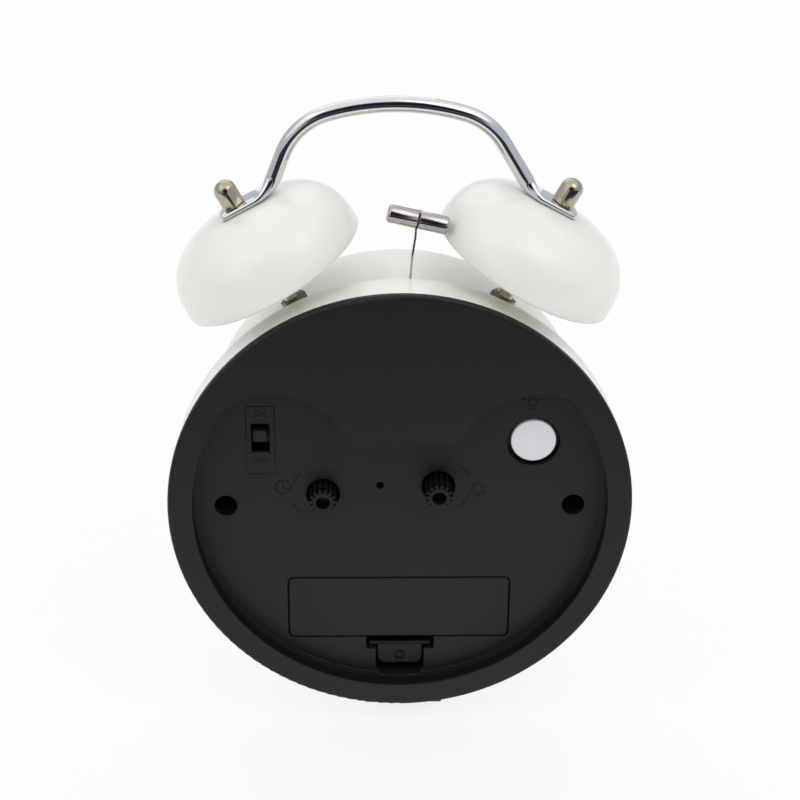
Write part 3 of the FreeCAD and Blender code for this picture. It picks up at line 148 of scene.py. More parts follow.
tone = add_node(tree, "ShaderNodeVectorMath", {"operation": "MULTIPLY"},
                links={0: tint.outputs["Color"], 1: cool.outputs["Color"]})
room = add_node(tree, "ShaderNodeBackground",
                links={"Color": tone.outputs["Vector"], "Strength": walls.outputs[0]})
white = add_node(tree, "ShaderNodeBackground", values={"Color": linear("#FFFFFF"),
                                                      "Strength": 1.0})
mixed = add_node(tree, "ShaderNodeMixShader",
                 links={0: rays.outputs["Is Camera Ray"], 1: room.outputs[0],
                        2: white.outputs[0]})
add_node(tree, "ShaderNodeOutputWorld", links={"Surface": mixed.outputs[0]})
CLOCK_MIDDLE = Vector((0, 0, 0.08))
lamps = (("key", (-0.45, 0.5, 1.0), 0.7, 1.5), ("fill", (0.8, 0.4, 0.8), 0.8, 0.8),
         ("front", (0.2, -0.9, 0.7), 0.8, 1.0))
for name, place, size, power in lamps:
    lamp_data = bpy.data.lights.new(name, "AREA")
    lamp_data.size = size
    lamp_data.energy = power
    lamp = bpy.data.objects.new(name, lamp_data)
    bpy.context.scene.collection.objects.link(lamp)
    lamp.location = place
    lamp.rotation_euler = (CLOCK_MIDDLE - Vector(place)).to_track_quat("-Z", "Y").to_euler()
bpy.context.scene.view_settings.view_transform = "Standard"


# Case: the drum and its wide rear band, spun from one steel sheet, with the front edge
# rolled in and a slot on top for the hammer. It is stoved in white enamel, so the eye gets
# a warm white with a soft gloss and the faint orange peel that sprayed enamel keeps.
MM = 0.001
AXIS_HEIGHT = 62
REAR = 23.5
WALL = 0.8
BAND_RADIUS = 57.5
BAND_FRONT = -12.2
DRUM_RADIUS = 50.3
DRUM_REAR = -13.3
DRUM_FRONT = -50
ROLLED_RADIUS = 47


def turned(name, outline, steps=128):
    """Turns a closed outline of (radius, height) in mm about the upright axis."""
    bpy.ops.object.select_all(action="DESELECT")
    bpy.ops.mesh.primitive_plane_add(size=MM, location=(0, 0, 0))
    piece = bpy.context.object
    piece.name = name
    bpy.ops.object.mode_set(mode="EDIT")
    bpy.ops.mesh.select_all(action="SELECT")
    bpy.ops.mesh.merge(type="CENTER")
    at = Vector((0, 0))
    for number, point in enumerate(outline):
        step = Vector(point) - at
        move = {"value": (step.x * MM, 0, step.y * MM)}
        if number:
            bpy.ops.mesh.extrude_vertices_move(TRANSFORM_OT_translate=move)
        else:
            bpy.ops.transform.translate(value=move["value"])
        at = Vector(point)
    mesh = bmesh.from_edit_mesh(piece.data)
    ends = [vertex for vertex in mesh.verts if len(vertex.link_edges) == 1]
    bpy.ops.mesh.select_all(action="DESELECT")
    for vertex in ends:
        vertex.select = True
    mesh.select_flush_mode()
    bmesh.update_edit_mesh(piece.data)
    bpy.ops.mesh.edge_face_add()
    bpy.ops.mesh.select_all(action="SELECT")
    bpy.ops.mesh.spin(steps=steps, angle=2 * math.pi, center=(0, 0, 0), axis=(0, 0, 1))
    bpy.ops.mesh.select_all(action="SELECT")
    bpy.ops.mesh.remove_doubles(threshold=1e-6)
    bpy.ops.mesh.dissolve_degenerate(threshold=1e-7)
    bpy.ops.mesh.normals_make_consistent(inside=False)
    bpy.ops.object.mode_set(mode="OBJECT")
    return piece


def only(piece):
    """Selects one piece alone."""
    bpy.ops.object.select_all(action="DESELECT")
    piece.select_set(True)
    bpy.context.view_layer.objects.active = piece


def put(piece, matrix):
    """Stands a piece in its place and keeps that place in its mesh."""
    only(piece)
    piece.matrix_world = matrix
    bpy.ops.object.transform_apply(location=True, rotation=True, scale=True)


def about_clock(x=0, z=0):
    """Turns the upright axis of a piece to the clock's axis, rear end up."""
    return (Matrix.Translation((x * MM, REAR * MM, (AXIS_HEIGHT + z) * MM))
            @ Matrix.Rotation(math.radians(-90), 4, "X"))


def cut_with(piece, tool, operation="DIFFERENCE"):
    """Cuts one solid with another and removes the tool."""
    only(piece)
    change = piece.modifiers.new("cut", "BOOLEAN")
    change.operation = operation
    change.solver = "EXACT"
    change.object = tool
    bpy.ops.object.modifier_apply(modifier="cut")
    bpy.data.objects.remove(tool)


def joined(name, pieces):
    """Makes one named piece of several."""
    only(pieces[0])
    for piece in pieces[1:]:
        piece.select_set(True)
    bpy.ops.object.join()
    pieces[0].name = name
    return pieces[0]


def ring_bevel(piece, rings, width, segments=5):
    """Rounds the ring edges of a turned piece that pass through (radius, height) in mm."""
    only(piece)
    bpy.ops.object.mode_set(mode="EDIT")
    bpy.ops.mesh.select_all(action="DESELECT")
    mesh = bmesh.from_edit_mesh(piece.data)
    for edge in mesh.edges:
        spots = [(math.hypot(end.co.x, end.co.y) / MM, end.co.z / MM) for end in edge.verts]
        for radius, height in rings:
            if all(abs(spot[0] - radius) < 0.02 and abs(spot[1] - height) < 0.02
                   for spot in spots):
                edge.select = True
    mesh.select_flush(True)
    bmesh.update_edit_mesh(piece.data)
    bpy.ops.mesh.bevel(offset=width * MM, segments=segments, affect="EDGES")
    bpy.ops.object.mode_set(mode="OBJECT")


def hand_over(piece, finish, body, slot, *stands_for, angle=32):
    """Gives a piece its finish, smooth faces, its body and the solids it stands for."""
    only(piece)
    piece.data.materials.clear()
    piece.data.materials.append(finish)
    bpy.ops.object.shade_smooth_by_angle(angle=math.radians(angle))
    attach(piece, body)
    if stands_for:
        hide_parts(*stands_for)


def dress(material, *names):
    """Gives a material to solid pieces of the clock."""
    for name in names:
        piece = nodes[name]
        piece.data.materials.clear()
        piece.data.materials.append(material)


enamel, tree = new_material("stoved_white_enamel")
place = add_node(tree, "ShaderNodeTexCoord")
cloud = add_node(tree, "ShaderNodeTexNoise", values={"Scale": 60, "Detail": 3},
                 links={"Vector": place.outputs["Object"]})
tint = add_node(tree, "ShaderNodeValToRGB", links={"Fac": cloud.outputs["Fac"]})
tint.color_ramp.elements[0].color = linear("#EDEDE2")
tint.color_ramp.elements[1].color = linear("#F4F4E9")
# Orange peel has waves of about 1.4 mm.
peel = add_node(tree, "ShaderNodeTexNoise", values={"Scale": 700, "Detail": 2},
                links={"Vector": place.outputs["Object"]})
skin = add_node(tree, "ShaderNodeBump", values={"Strength": 0.05, "Distance": 0.0002},
                links={"Height": peel.outputs["Fac"]})
paint = add_node(tree, "ShaderNodeBsdfPrincipled",
                 values={"Roughness": 0.28, "IOR": 1.5, "Coat Weight": 0.15,
                         "Coat Roughness": 0.12},
                 links={"Base Color": tint.outputs["Color"], "Normal": skin.outputs["Normal"]})
add_node(tree, "ShaderNodeOutputMaterial", links={"Surface": paint.outputs[0]})

case = turned("drum_and_band", [
    (BAND_RADIUS, -WALL), (BAND_RADIUS, BAND_FRONT), (DRUM_RADIUS, DRUM_REAR),
    (DRUM_RADIUS, DRUM_FRONT), (ROLLED_RADIUS, DRUM_FRONT), (ROLLED_RADIUS, DRUM_FRONT + WALL),
    (DRUM_RADIUS - WALL, DRUM_FRONT + WALL), (DRUM_RADIUS - WALL, DRUM_REAR + WALL),
    (BAND_RADIUS - WALL, BAND_FRONT + WALL), (BAND_RADIUS - WALL, -WALL)], steps=160)
ring_bevel(case, [(BAND_RADIUS, BAND_FRONT)], 1.4)
ring_bevel(case, [(DRUM_RADIUS, DRUM_FRONT)], 1.6)
ring_bevel(case, [(ROLLED_RADIUS, DRUM_FRONT)], 0.3, 3)
ring_bevel(case, [(DRUM_RADIUS, DRUM_REAR)], 0.5, 3)
put(case, about_clock())
bpy.ops.object.select_all(action="DESELECT")
bpy.ops.mesh.primitive_cube_add(size=1, location=(-0.5 * MM, 8.5 * MM, 112 * MM))
hammer_slot = bpy.context.object
hammer_slot.scale = (7 * MM, 3.2 * MM, 20 * MM)
bpy.ops.object.transform_apply(location=True, rotation=True, scale=True)
cut_with(case, hammer_slot)
hand_over(case, enamel, "clock", "white_enamel", "case_shell")

# Bells: two domes pressed from steel sheet with a steep skirt and a drawn-in mouth, each
# bolted on its own slanted post, and stoved in the same white enamel as the case.
BELL_LEFT = 29.6
BELL_RIGHT = 28.9
BELL_CROWN = 80.9
BELL_PLANE = -24
BELL_RADIUS = 24.25
BELL_MOUTH = 23.45
BELL_WALL = 1.0
BELL_GIRTH = 63.7
BELL_LIP = 62.9
BELL_POWER = 2.7
BELL_STEPS = 22


def on_post(side, along, turn=0):
    """Place on a bell post, side 1 to the left and -1 to the right, with a turn about it."""
    angle = side * math.radians(BELL_LEFT if side > 0 else BELL_RIGHT)
    axis = Vector((math.sin(angle), 0, math.cos(angle)))
    start = Vector((0, (BELL_PLANE + REAR) * MM, AXIS_HEIGHT * MM)) + axis * along * MM
    return (Matrix.Translation(start) @ Matrix.Rotation(angle, 4, "Y")
            @ Matrix.Rotation(math.radians(turn), 4, "Z"))


def dome(depth):
    """Points of a bell's wall from its hole to its lip, at a depth below its outside."""
    radius = BELL_RADIUS - depth
    crown = BELL_CROWN - depth
    mouth = BELL_MOUTH - depth
    points = [(1.9, crown)]
    for index in range(1, BELL_STEPS + 1):
        angle = math.pi / 2 * (index / BELL_STEPS) ** 1.3
        across = radius * math.sin(angle) ** (2 / BELL_POWER)
        rise = (crown - BELL_GIRTH) * math.cos(angle) ** (2 / BELL_POWER)
        if across > 2.5:
            points.append((across, BELL_GIRTH + rise))
    points.append((radius - (radius - mouth) * 0.27, BELL_GIRTH - (BELL_GIRTH - BELL_LIP) * 0.52))
    points.append((mouth, BELL_LIP))
    return points


for side, name in ((1, "left_bell"), (-1, "right_bell")):
    bell = turned(name + "_dome", dome(0) + dome(BELL_WALL)[::-1])
    put(bell, on_post(side, 0))
    hand_over(bell, enamel, "clock", "white_enamel", name)

# Rear cover with its battery cover, knobs, switch and foot: injection-moulded black ABS
# from a spark-eroded mould, so the flat faces are satin black with a very fine even grain
# and the edges are a little rounded.
abs_black, tree = new_material("moulded_black_abs")
place = add_node(tree, "ShaderNodeTexCoord")
# The eroded grain is about 0.45 mm here, coarser than the real 0.1 mm, so that it shows.
grain = add_node(tree, "ShaderNodeTexNoise", values={"Scale": 2200, "Detail": 2},
                 links={"Vector": place.outputs["Object"]})
flow = add_node(tree, "ShaderNodeTexNoise", values={"Scale": 25, "Detail": 4},
                links={"Vector": place.outputs["Object"]})
tint = add_node(tree, "ShaderNodeValToRGB", links={"Fac": flow.outputs["Fac"]})
tint.color_ramp.elements[0].color = linear("#121214")
tint.color_ramp.elements[1].color = linear("#161617")
edges = add_node(tree, "ShaderNodeBevel", {"samples": 4}, {"Radius": 0.0005})
skin = add_node(tree, "ShaderNodeBump", values={"Strength": 0.12, "Distance": 0.0001},
                links={"Height": grain.outputs["Fac"], "Normal": edges.outputs["Normal"]})
plastic = add_node(tree, "ShaderNodeBsdfPrincipled",
                   values={"Roughness": 0.48, "IOR": 1.53, "Specular IOR Level": 0.3},
                   links={"Base Color": tint.outputs["Color"], "Normal": skin.outputs["Normal"]})
add_node(tree, "ShaderNodeOutputMaterial", links={"Surface": plastic.outputs[0]})
dress(abs_black, "back_cover", "battery_cover", "time_knob", "alarm_knob", "rear_foot",
      "alarm_switch", "switch_body", "time_shaft", "alarm_shaft")

# Marks on the rear cover: the words and outlines beside the switch, and small signs beside
# the light button and the knobs. They were cut into the mould, so they stand 0.1 mm proud
# in the cover's own black plastic.
FACE = 20.0
MARK_WIDTH = 0.35
BOX_LEFT = 38.15
BOX_RIGHT = 31.15
BOX_TOP = 26.6
BOX_BOTTOM = 8.0
BOX_SHELF = 13.6
LAMP_SIGN = (-32.5, 27.6)
CLOCK_SIGN = (29.3, 4.3)
BELL_SIGN_X = -19.6
TIME_KNOB = (19.3, 2.3)
ALARM_KNOB = (-9.6, 4.4)
KNOB_RING = 8.0
sign_pieces = []


def bar(x0, z0, x1, z1):
    """Low bar with sloping sides on the cover's face, between two places in mm."""
    length = math.hypot(x1 - x0, z1 - z0)
    bpy.ops.object.select_all(action="DESELECT")
    bpy.ops.mesh.primitive_cube_add(size=1, location=(0, 0, 0))
    piece = bpy.context.object
    piece.scale = ((length + MARK_WIDTH) * MM, MARK_WIDTH * MM, 0.24 * MM)
    bpy.ops.object.transform_apply(location=False, rotation=False, scale=True)
    bpy.ops.object.mode_set(mode="EDIT")
    bpy.ops.mesh.select_all(action="SELECT")
    bpy.ops.mesh.bevel(offset=0.07 * MM, segments=2, affect="EDGES")
    bpy.ops.object.mode_set(mode="OBJECT")
    turn = math.atan2(z1 - z0, -(x1 - x0))
    put(piece, Matrix.Translation(((x0 + x1) / 2 * MM, (FACE - 0.02) * MM,
                                   ((z0 + z1) / 2 + AXIS_HEIGHT) * MM))
        @ Matrix.Rotation(math.pi, 4, "Z") @ Matrix.Rotation(math.pi / 2, 4, "X")
        @ Matrix.Rotation(turn, 4, "Z"))
    sign_pieces.append(piece)


def word(text, x, z, height, wide):
    """Raised word whose middle is at a place in mm, read from the rear."""
    bpy.ops.object.select_all(action="DESELECT")
    bpy.ops.object.text_add(location=(0, 0, 0))
    piece = bpy.context.object
    piece.data.body = text
    piece.data.align_x = "CENTER"
    piece.data.align_y = "CENTER"
    piece.data.size = 1.0
    piece.data.extrude = 0.05
    piece.data.bevel_depth = 0.012
    piece.data.resolution_u = 3
    bpy.ops.object.convert(target="MESH")
    piece = bpy.context.object
    size = piece.dimensions.copy()
    put(piece, Matrix.Translation((x * MM, FACE * MM, (z + AXIS_HEIGHT) * MM))
        @ Matrix.Rotation(math.pi, 4, "Z") @ Matrix.Rotation(math.pi / 2, 4, "X")
        @ Matrix.Diagonal((wide / size.x * MM, height / size.y * MM, 1.6 * MM, 1)))
    sign_pieces.append(piece)


def curve(x, z, radius, start, end, pieces):
    """Curved bar about a centre, its angles from the horizontal as seen from the rear."""
    corners = []
    for index in range(pieces + 1):
        angle = math.radians(start + (end - start) * index / pieces)
        corners.append((x - radius * math.cos(angle), z + radius * math.sin(angle)))
    for first, second in zip(corners, corners[1:]):
        bar(*first, *second)


word("ON", 34.7, 24.6, 1.9, 2.9)
word("OFF", 34.9, 11.4, 2.0, 4.2)
bar(BOX_LEFT, BOX_TOP, BOX_LEFT, BOX_BOTTOM)
bar(BOX_RIGHT, BOX_TOP, BOX_RIGHT, BOX_BOTTOM)
bar(BOX_LEFT, BOX_BOTTOM, BOX_RIGHT, BOX_BOTTOM)
bar(BOX_LEFT, BOX_TOP, BOX_RIGHT, BOX_TOP)
bar(BOX_LEFT, BOX_SHELF, BOX_LEFT - 1.25, BOX_SHELF)
bar(BOX_RIGHT + 1.25, BOX_SHELF, BOX_RIGHT, BOX_SHELF)
curve(*LAMP_SIGN, 1.15, -50, 230, 10)
bar(-33.2, 26.5, -31.8, 26.5)
bar(-33.0, 25.8, -32.0, 25.8)
for ray in (20, 90, 160):
    angle = math.radians(ray)
    bar(LAMP_SIGN[0] - 1.9 * math.cos(angle), LAMP_SIGN[1] + 1.9 * math.sin(angle),
        LAMP_SIGN[0] - 2.8 * math.cos(angle), LAMP_SIGN[1] + 2.8 * math.sin(angle))
curve(BELL_SIGN_X, 3.9, 1.3, 0, 180, 8)
bar(BELL_SIGN_X - 1.3, 3.9, BELL_SIGN_X - 1.6, 2.6)
bar(BELL_SIGN_X + 1.3, 3.9, BELL_SIGN_X + 1.6, 2.6)
bar(BELL_SIGN_X - 1.8, 2.4, BELL_SIGN_X + 1.8, 2.4)
curve(BELL_SIGN_X, 1.9, 0.35, 180, 360, 4)
curve(*ALARM_KNOB, KNOB_RING, 18, 44, 5)
curve(*ALARM_KNOB, KNOB_RING, -44, -18, 5)
curve(*CLOCK_SIGN, 1.9, 0, 360, 16)
bar(*CLOCK_SIGN, 29.3, 5.5)
bar(*CLOCK_SIGN, 28.4, 3.7)
curve(*TIME_KNOB, KNOB_RING, 136, 162, 5)
curve(*TIME_KNOB, KNOB_RING, 198, 224, 5)
hand_over(joined("cover_marks", sign_pieces), abs_black, "clock", "black_plastic")

# Handle: a steel rod bent over the bells, its ends pressed flat where the posts pass
# through, then polished and chromium plated. The eye gets sharp dark and light bands with
# only a trace of haze.
chrome, tree = new_material("polished_chrome")
place = add_node(tree, "ShaderNodeTexCoord")
haze = add_node(tree, "ShaderNodeTexNoise", values={"Scale": 180, "Detail": 3},
                links={"Vector": place.outputs["Object"]})
gloss = add_node(tree, "ShaderNodeMapRange", values={"To Min": 0.05, "To Max": 0.1},
                 links={"Value": haze.outputs["Fac"]})
plating = add_node(tree, "ShaderNodeBsdfPrincipled",
                   values={"Base Color": linear("#D9DAD9"), "Metallic": 1.0},
                   links={"Roughness": gloss.outputs[0]})
add_node(tree, "ShaderNodeOutputMaterial", links={"Surface": plating.outputs[0]})


def drawn(name, stations, sides=32):
    """Bar through stations of (place, first axis, second axis, half width, half depth) in mm.

    A bar wider than it is deep has flat faces and round edges, as a rod pressed flat has."""
    bpy.ops.object.select_all(action="DESELECT")
    bpy.ops.mesh.primitive_circle_add(vertices=sides, radius=1, location=(0, 0, 0))
    piece = bpy.context.object
    piece.name = name
    bpy.ops.object.mode_set(mode="EDIT")
    bpy.ops.mesh.select_all(action="SELECT")
    mesh = bmesh.from_edit_mesh(piece.data)
    mesh.verts.ensure_lookup_table()
    order = {tuple(round(part, 7) for part in vertex.co): vertex.index for vertex in mesh.verts}
    for number, (spot, first, second, wide, deep) in enumerate(stations):
        if number:
            bpy.ops.mesh.extrude_region_move()
            mesh = bmesh.from_edit_mesh(piece.data)
        following = {}
        for vertex in mesh.verts:
            if vertex.select:
                index = order[tuple(round(part, 7) for part in vertex.co)]
                angle = 2 * math.pi * (index + 0.5) / sides
                across = deep * math.cos(angle) + math.copysign(wide - deep, math.cos(angle))
                vertex.co = (spot + first * across + second * deep * math.sin(angle)) * MM
                following[tuple(round(part, 7) for part in vertex.co)] = index
        order = following
        bmesh.update_edit_mesh(piece.data)
    bpy.ops.mesh.edge_face_add()
    bpy.ops.mesh.select_all(action="SELECT")
    bpy.ops.mesh.region_to_loop()
    bpy.ops.mesh.edge_face_add()
    bpy.ops.mesh.select_all(action="SELECT")
    bpy.ops.mesh.normals_make_consistent(inside=False)
    bpy.ops.object.mode_set(mode="OBJECT")
    return piece


ROD = 2.0
TOP_HEIGHT = 97.3
TOP_LEAN = 1.2
TOP_ARC = 59.0
TOP_TURN = math.radians(16)
CORNER = 17.0
BEND = 11.0
BEND_X = 32.2
STRAP_HALF = (4.3, 0.7)
STRAP_LEVEL = BELL_CROWN + STRAP_HALF[1] + 0.03
STRAP_END = 4
STRAP_ROUND = 1.2


def handle_half(side):
    """Stations from the middle of the handle to one end."""
    beta = math.radians(BELL_LEFT if side > 0 else BELL_RIGHT)
    centre = Vector((side * TOP_LEAN, TOP_HEIGHT - TOP_ARC))
    knee = centre + TOP_ARC * Vector((math.sin(TOP_TURN), math.cos(TOP_TURN)))
    hub = knee - CORNER * Vector((math.sin(TOP_TURN), math.cos(TOP_TURN)))
    foot = Vector((BEND_X, (STRAP_LEVEL - BEND_X * math.sin(beta)) / math.cos(beta)))
    reach = foot - hub
    leave = math.atan2(reach.y, reach.x) + math.acos(CORNER / reach.length)
    line = []
    for index in range(17):
        angle = TOP_TURN * index / 16
        normal = Vector((math.sin(angle), math.cos(angle)))
        line.append((centre + TOP_ARC * normal, normal, ROD, ROD))
    for index in range(1, 19):
        angle = TOP_TURN + (math.pi / 2 - leave - TOP_TURN) * index / 18
        normal = Vector((math.sin(angle), math.cos(angle)))
        line.append((hub + CORNER * normal, normal, ROD, ROD))
    elbow = line[-1][0]
    slope = math.atan2(foot.y - elbow.y, foot.x - elbow.x)
    swing = -beta - slope
    begin = foot - BEND * math.tan(swing / 2) * Vector((math.cos(slope), math.sin(slope)))
    for index in range(17):
        share = index / 16
        heading = slope + swing * share
        spot = begin + BEND * Vector((math.sin(heading) - math.sin(slope),
                                      math.cos(slope) - math.cos(heading)))
        ease = share * share * (3 - 2 * share)
        line.append((spot, Vector((-math.sin(heading), math.cos(heading))),
                     ROD + (STRAP_HALF[0] - ROD) * ease, ROD + (STRAP_HALF[1] - ROD) * ease))
    flat = Vector((math.cos(beta), -math.sin(beta)))
    post = STRAP_LEVEL * Vector((math.sin(beta), math.cos(beta)))
    length = (post - spot).dot(flat) + STRAP_END
    for back in (length - 2, length / 2, STRAP_ROUND, 0.8, 0.45, 0.2, 0.06, 0):
        narrow = STRAP_ROUND - math.sqrt(STRAP_ROUND ** 2 - max(STRAP_ROUND - back, 0) ** 2)
        line.append((spot + flat * (length - back), line[-1][1], STRAP_HALF[0] - narrow,
                     STRAP_HALF[1] - (0.12 if back == 0 else 0)))
    stations = []
    for spot, normal, wide, deep in line:
        stations.append((Vector((side * spot.x, BELL_PLANE + REAR, spot.y + AXIS_HEIGHT)),
                         Vector((0, 1, 0)), Vector((side * normal.x, 0, normal.y)), wide, deep))
    return stations


handle = drawn("bow_handle", handle_half(-1)[:0:-1] + handle_half(1))
hand_over(handle, chrome, "clock", "chrome", "handle", angle=40)

# Front legs: turned steel cones that screw into the drum, each ending in a ball foot, and
# chromium plated like the handle.
LEG_SPREAD = 26
LEG_PLANE = -36
BALL_RADIUS = 3
leg_outline = [(0.0, 49.6), (3.4, 49.6), (3.4, 51.2), (2.9, 52.0)]
leg_outline += [(2.9 - 0.9 * index / 4, 52.0 + 11.4 * index / 4) for index in range(1, 5)]
ball_middle = (AXIS_HEIGHT - BALL_RADIUS) / math.cos(math.radians(LEG_SPREAD))
for index in range(3, 19):
    angle = math.pi * (18 - index) / 18
    leg_outline.append((BALL_RADIUS * math.sin(angle), ball_middle + BALL_RADIUS * math.cos(angle)))
legs = []
for side in (1, -1):
    leg = turned("leg", leg_outline, steps=48)
    put(leg, Matrix.Translation((0, (LEG_PLANE + REAR) * MM, AXIS_HEIGHT * MM))
        @ Matrix.Rotation(side * math.radians(180 - LEG_SPREAD), 4, "Y"))
    legs.append(leg)
hand_over(joined("ball_legs", legs), chrome, "clock", "chrome", "front_legs")

# Acorn nuts: hexagon bar with a turned dome, plated with nickel, which is a little duller
# and browner than the chrome. The corners of the hexagon are worn round by polishing.
nickel, tree = new_material("nickel_plated_steel")
place = add_node(tree, "ShaderNodeTexCoord")
# Turning marks are waves of 2 mm with finer ones in them, coarser than real, so they show.
marks = add_node(tree, "ShaderNodeTexNoise", values={"Scale": 500, "Detail": 4},
                 links={"Vector": place.outputs["Object"]})
gloss = add_node(tree, "ShaderNodeMapRange", values={"To Min": 0.1, "To Max": 0.2},
                 links={"Value": marks.outputs["Fac"]})
edges = add_node(tree, "ShaderNodeBevel", {"samples": 4}, {"Radius": 0.0002})
plating = add_node(tree, "ShaderNodeBsdfPrincipled",
                   values={"Base Color": linear("#B5AC98"), "Metallic": 1.0},
                   links={"Roughness": gloss.outputs[0], "Normal": edges.outputs["Normal"]})
add_node(tree, "ShaderNodeOutputMaterial", links={"Surface": plating.outputs[0]})
NUT_FLATS = 5.5
NUT_HEIGHT = 6.9
NUT_SEAT = BELL_CROWN + 1.46
DOME_RADIUS = 2.85
DOME_START = 4.05
nut_outline = [(0.0, -0.1), (DOME_RADIUS + 0.1, -0.1), (DOME_RADIUS + 0.1, DOME_START)]
for index in range(1, 13):
    angle = math.radians(7.5 * index)
    nut_outline.append((0.1 + DOME_RADIUS * math.cos(angle),
                        DOME_START + DOME_RADIUS * math.sin(angle)))
nut_outline.append((0.0, NUT_HEIGHT))
nuts = []
for side, turn in ((1, 70), (-1, 38)):
    bpy.ops.object.select_all(action="DESELECT")
    bpy.ops.mesh.primitive_cylinder_add(
        vertices=6, radius=NUT_FLATS / 2 / math.cos(math.pi / 6) * MM,
        depth=NUT_HEIGHT * MM, location=(0, 0, NUT_HEIGHT / 2 * MM))
    nut = bpy.context.object
    bpy.ops.object.transform_apply(location=True, rotation=False, scale=False)
    bpy.ops.object.mode_set(mode="EDIT")
    bpy.ops.mesh.select_all(action="DESELECT")
    mesh = bmesh.from_edit_mesh(nut.data)
    for edge in mesh.edges:
        if abs(edge.verts[0].co.z - edge.verts[1].co.z) > 5 * MM:
            edge.select = True
    mesh.select_flush(True)
    bmesh.update_edit_mesh(nut.data)
    bpy.ops.mesh.bevel(offset=0.4 * MM, segments=4, affect="EDGES")
    bpy.ops.object.mode_set(mode="OBJECT")
    cut_with(nut, turned("nut_dome", nut_outline, steps=64), "INTERSECT")
    put(nut, on_post(side, NUT_SEAT, turn))
    nuts.append(nut)
hand_over(joined("domed_nuts", nuts), nickel, "clock", "nickel", "acorn_nuts", angle=35)
dress(nickel, "bell_posts", "post_washers", "lock_nuts", "battery_contact", "quartz_crystal")

# Hammer: two short lengths of ground steel bar riveted to a spring strip, so a fine seam
# shows between them, with the end corners rounded in the tumbling barrel.
steel, tree = new_material("ground_steel")
place = add_node(tree, "ShaderNodeTexCoord")
marks = add_node(tree, "ShaderNodeTexNoise", values={"Scale": 900, "Detail": 3},
                 links={"Vector": place.outputs["Object"]})
gloss = add_node(tree, "ShaderNodeMapRange", values={"To Min": 0.1, "To Max": 0.2},
                 links={"Value": marks.outputs["Fac"]})
edges = add_node(tree, "ShaderNodeBevel", {"samples": 4}, {"Radius": 0.0002})
metal = add_node(tree, "ShaderNodeBsdfPrincipled",
                 values={"Base Color": linear("#BDB6B4"), "Metallic": 1.0},
                 links={"Roughness": gloss.outputs[0], "Normal": edges.outputs["Normal"]})
add_node(tree, "ShaderNodeOutputMaterial", links={"Surface": metal.outputs[0]})
BARREL_RADIUS = 2.25
BARREL_HALF = 3.7
STRIP_HALF = 0.25
head_tilt = math.radians(13.1)
head_place = Vector((-4.05, -14.7 + REAR, 71.4 + AXIS_HEIGHT))
barrels = []
for side in (1, -1):
    bpy.ops.object.select_all(action="DESELECT")
    bpy.ops.mesh.primitive_cylinder_add(vertices=64, radius=BARREL_RADIUS * MM,
                                        depth=2 * BARREL_HALF * MM)
    barrel = bpy.context.object
    ring_bevel(barrel, [(BARREL_RADIUS, BARREL_HALF)], 0.85)
    ring_bevel(barrel, [(BARREL_RADIUS, -BARREL_HALF)], 0.06, 2)
    along = Vector((math.cos(head_tilt), 0, math.sin(head_tilt))) * side
    turn = Vector((0, 0, 1)).rotation_difference(along).to_matrix().to_4x4()
    middle = head_place + along * (STRIP_HALF + BARREL_HALF)
    put(barrel, Matrix.Translation(middle * MM) @ turn)
    barrels.append(barrel)
hand_over(joined("hammer_barrels", barrels), steel, "hammer", "steel", "hammer_head", angle=35)
dress(steel, "hammer_arm", "hammer_pivot", "cover_screws", "inner_screws", "striker_frame",
      "striker_motor", "stator")

# Hexagon nuts that hold the posts on the drum, and the magnet of the movement: steel
# phosphated and oiled, so it is a middling warm grey with a dull sheen.
phosphated, tree = new_material("phosphated_steel")
place = add_node(tree, "ShaderNodeTexCoord")
marks = add_node(tree, "ShaderNodeTexNoise", values={"Scale": 900, "Detail": 3},
                 links={"Vector": place.outputs["Object"]})
gloss = add_node(tree, "ShaderNodeMapRange", values={"To Min": 0.3, "To Max": 0.45},
                 links={"Value": marks.outputs["Fac"]})
edges = add_node(tree, "ShaderNodeBevel", {"samples": 4}, {"Radius": 0.0002})
metal = add_node(tree, "ShaderNodeBsdfPrincipled",
                 values={"Base Color": linear("#75746E"), "Metallic": 1.0},
                 links={"Roughness": gloss.outputs[0], "Normal": edges.outputs["Normal"]})
add_node(tree, "ShaderNodeOutputMaterial", links={"Surface": metal.outputs[0]})
dress(phosphated, "post_nuts", "rotor")

# Light button: a white ABS cap with a rounded rim, a flange that keeps it in its hole and
# a stem behind it, from a polished mould. A thin black ring in the hole is painted shade:
# it hides the white flange and darkens the gap, so that the cap stands in a dark ring.
white_abs, tree = new_material("moulded_white_abs")
place = add_node(tree, "ShaderNodeTexCoord")
cloud = add_node(tree, "ShaderNodeTexNoise", values={"Scale": 90, "Detail": 3},
                 links={"Vector": place.outputs["Object"]})
tint = add_node(tree, "ShaderNodeValToRGB", links={"Fac": cloud.outputs["Fac"]})
tint.color_ramp.elements[0].color = linear("#E2E3E3")
tint.color_ramp.elements[1].color = linear("#E9EAEA")
flow = add_node(tree, "ShaderNodeBump", values={"Strength": 0.04, "Distance": 0.0001},
                links={"Height": cloud.outputs["Fac"]})
plastic = add_node(tree, "ShaderNodeBsdfPrincipled", values={"Roughness": 0.4, "IOR": 1.53},
                   links={"Base Color": tint.outputs["Color"], "Normal": flow.outputs["Normal"]})
add_node(tree, "ShaderNodeOutputMaterial", links={"Surface": plastic.outputs[0]})
BUTTON_PLACE = (-33.1, 16.9)
button = turned("light_button_cap", [
    (0.0, -8.2), (2.5, -8.2), (2.5, -7.0), (7.3, -7.0), (7.3, -5.8), (5.6, -5.8), (5.6, -4.2),
    (5.55, -4.03), (5.4, -3.92), (5.15, -3.87), (0.0, -3.8)], steps=96)
put(button, about_clock(*BUTTON_PLACE))
hand_over(button, white_abs, "button", "white_plastic", "light_button")
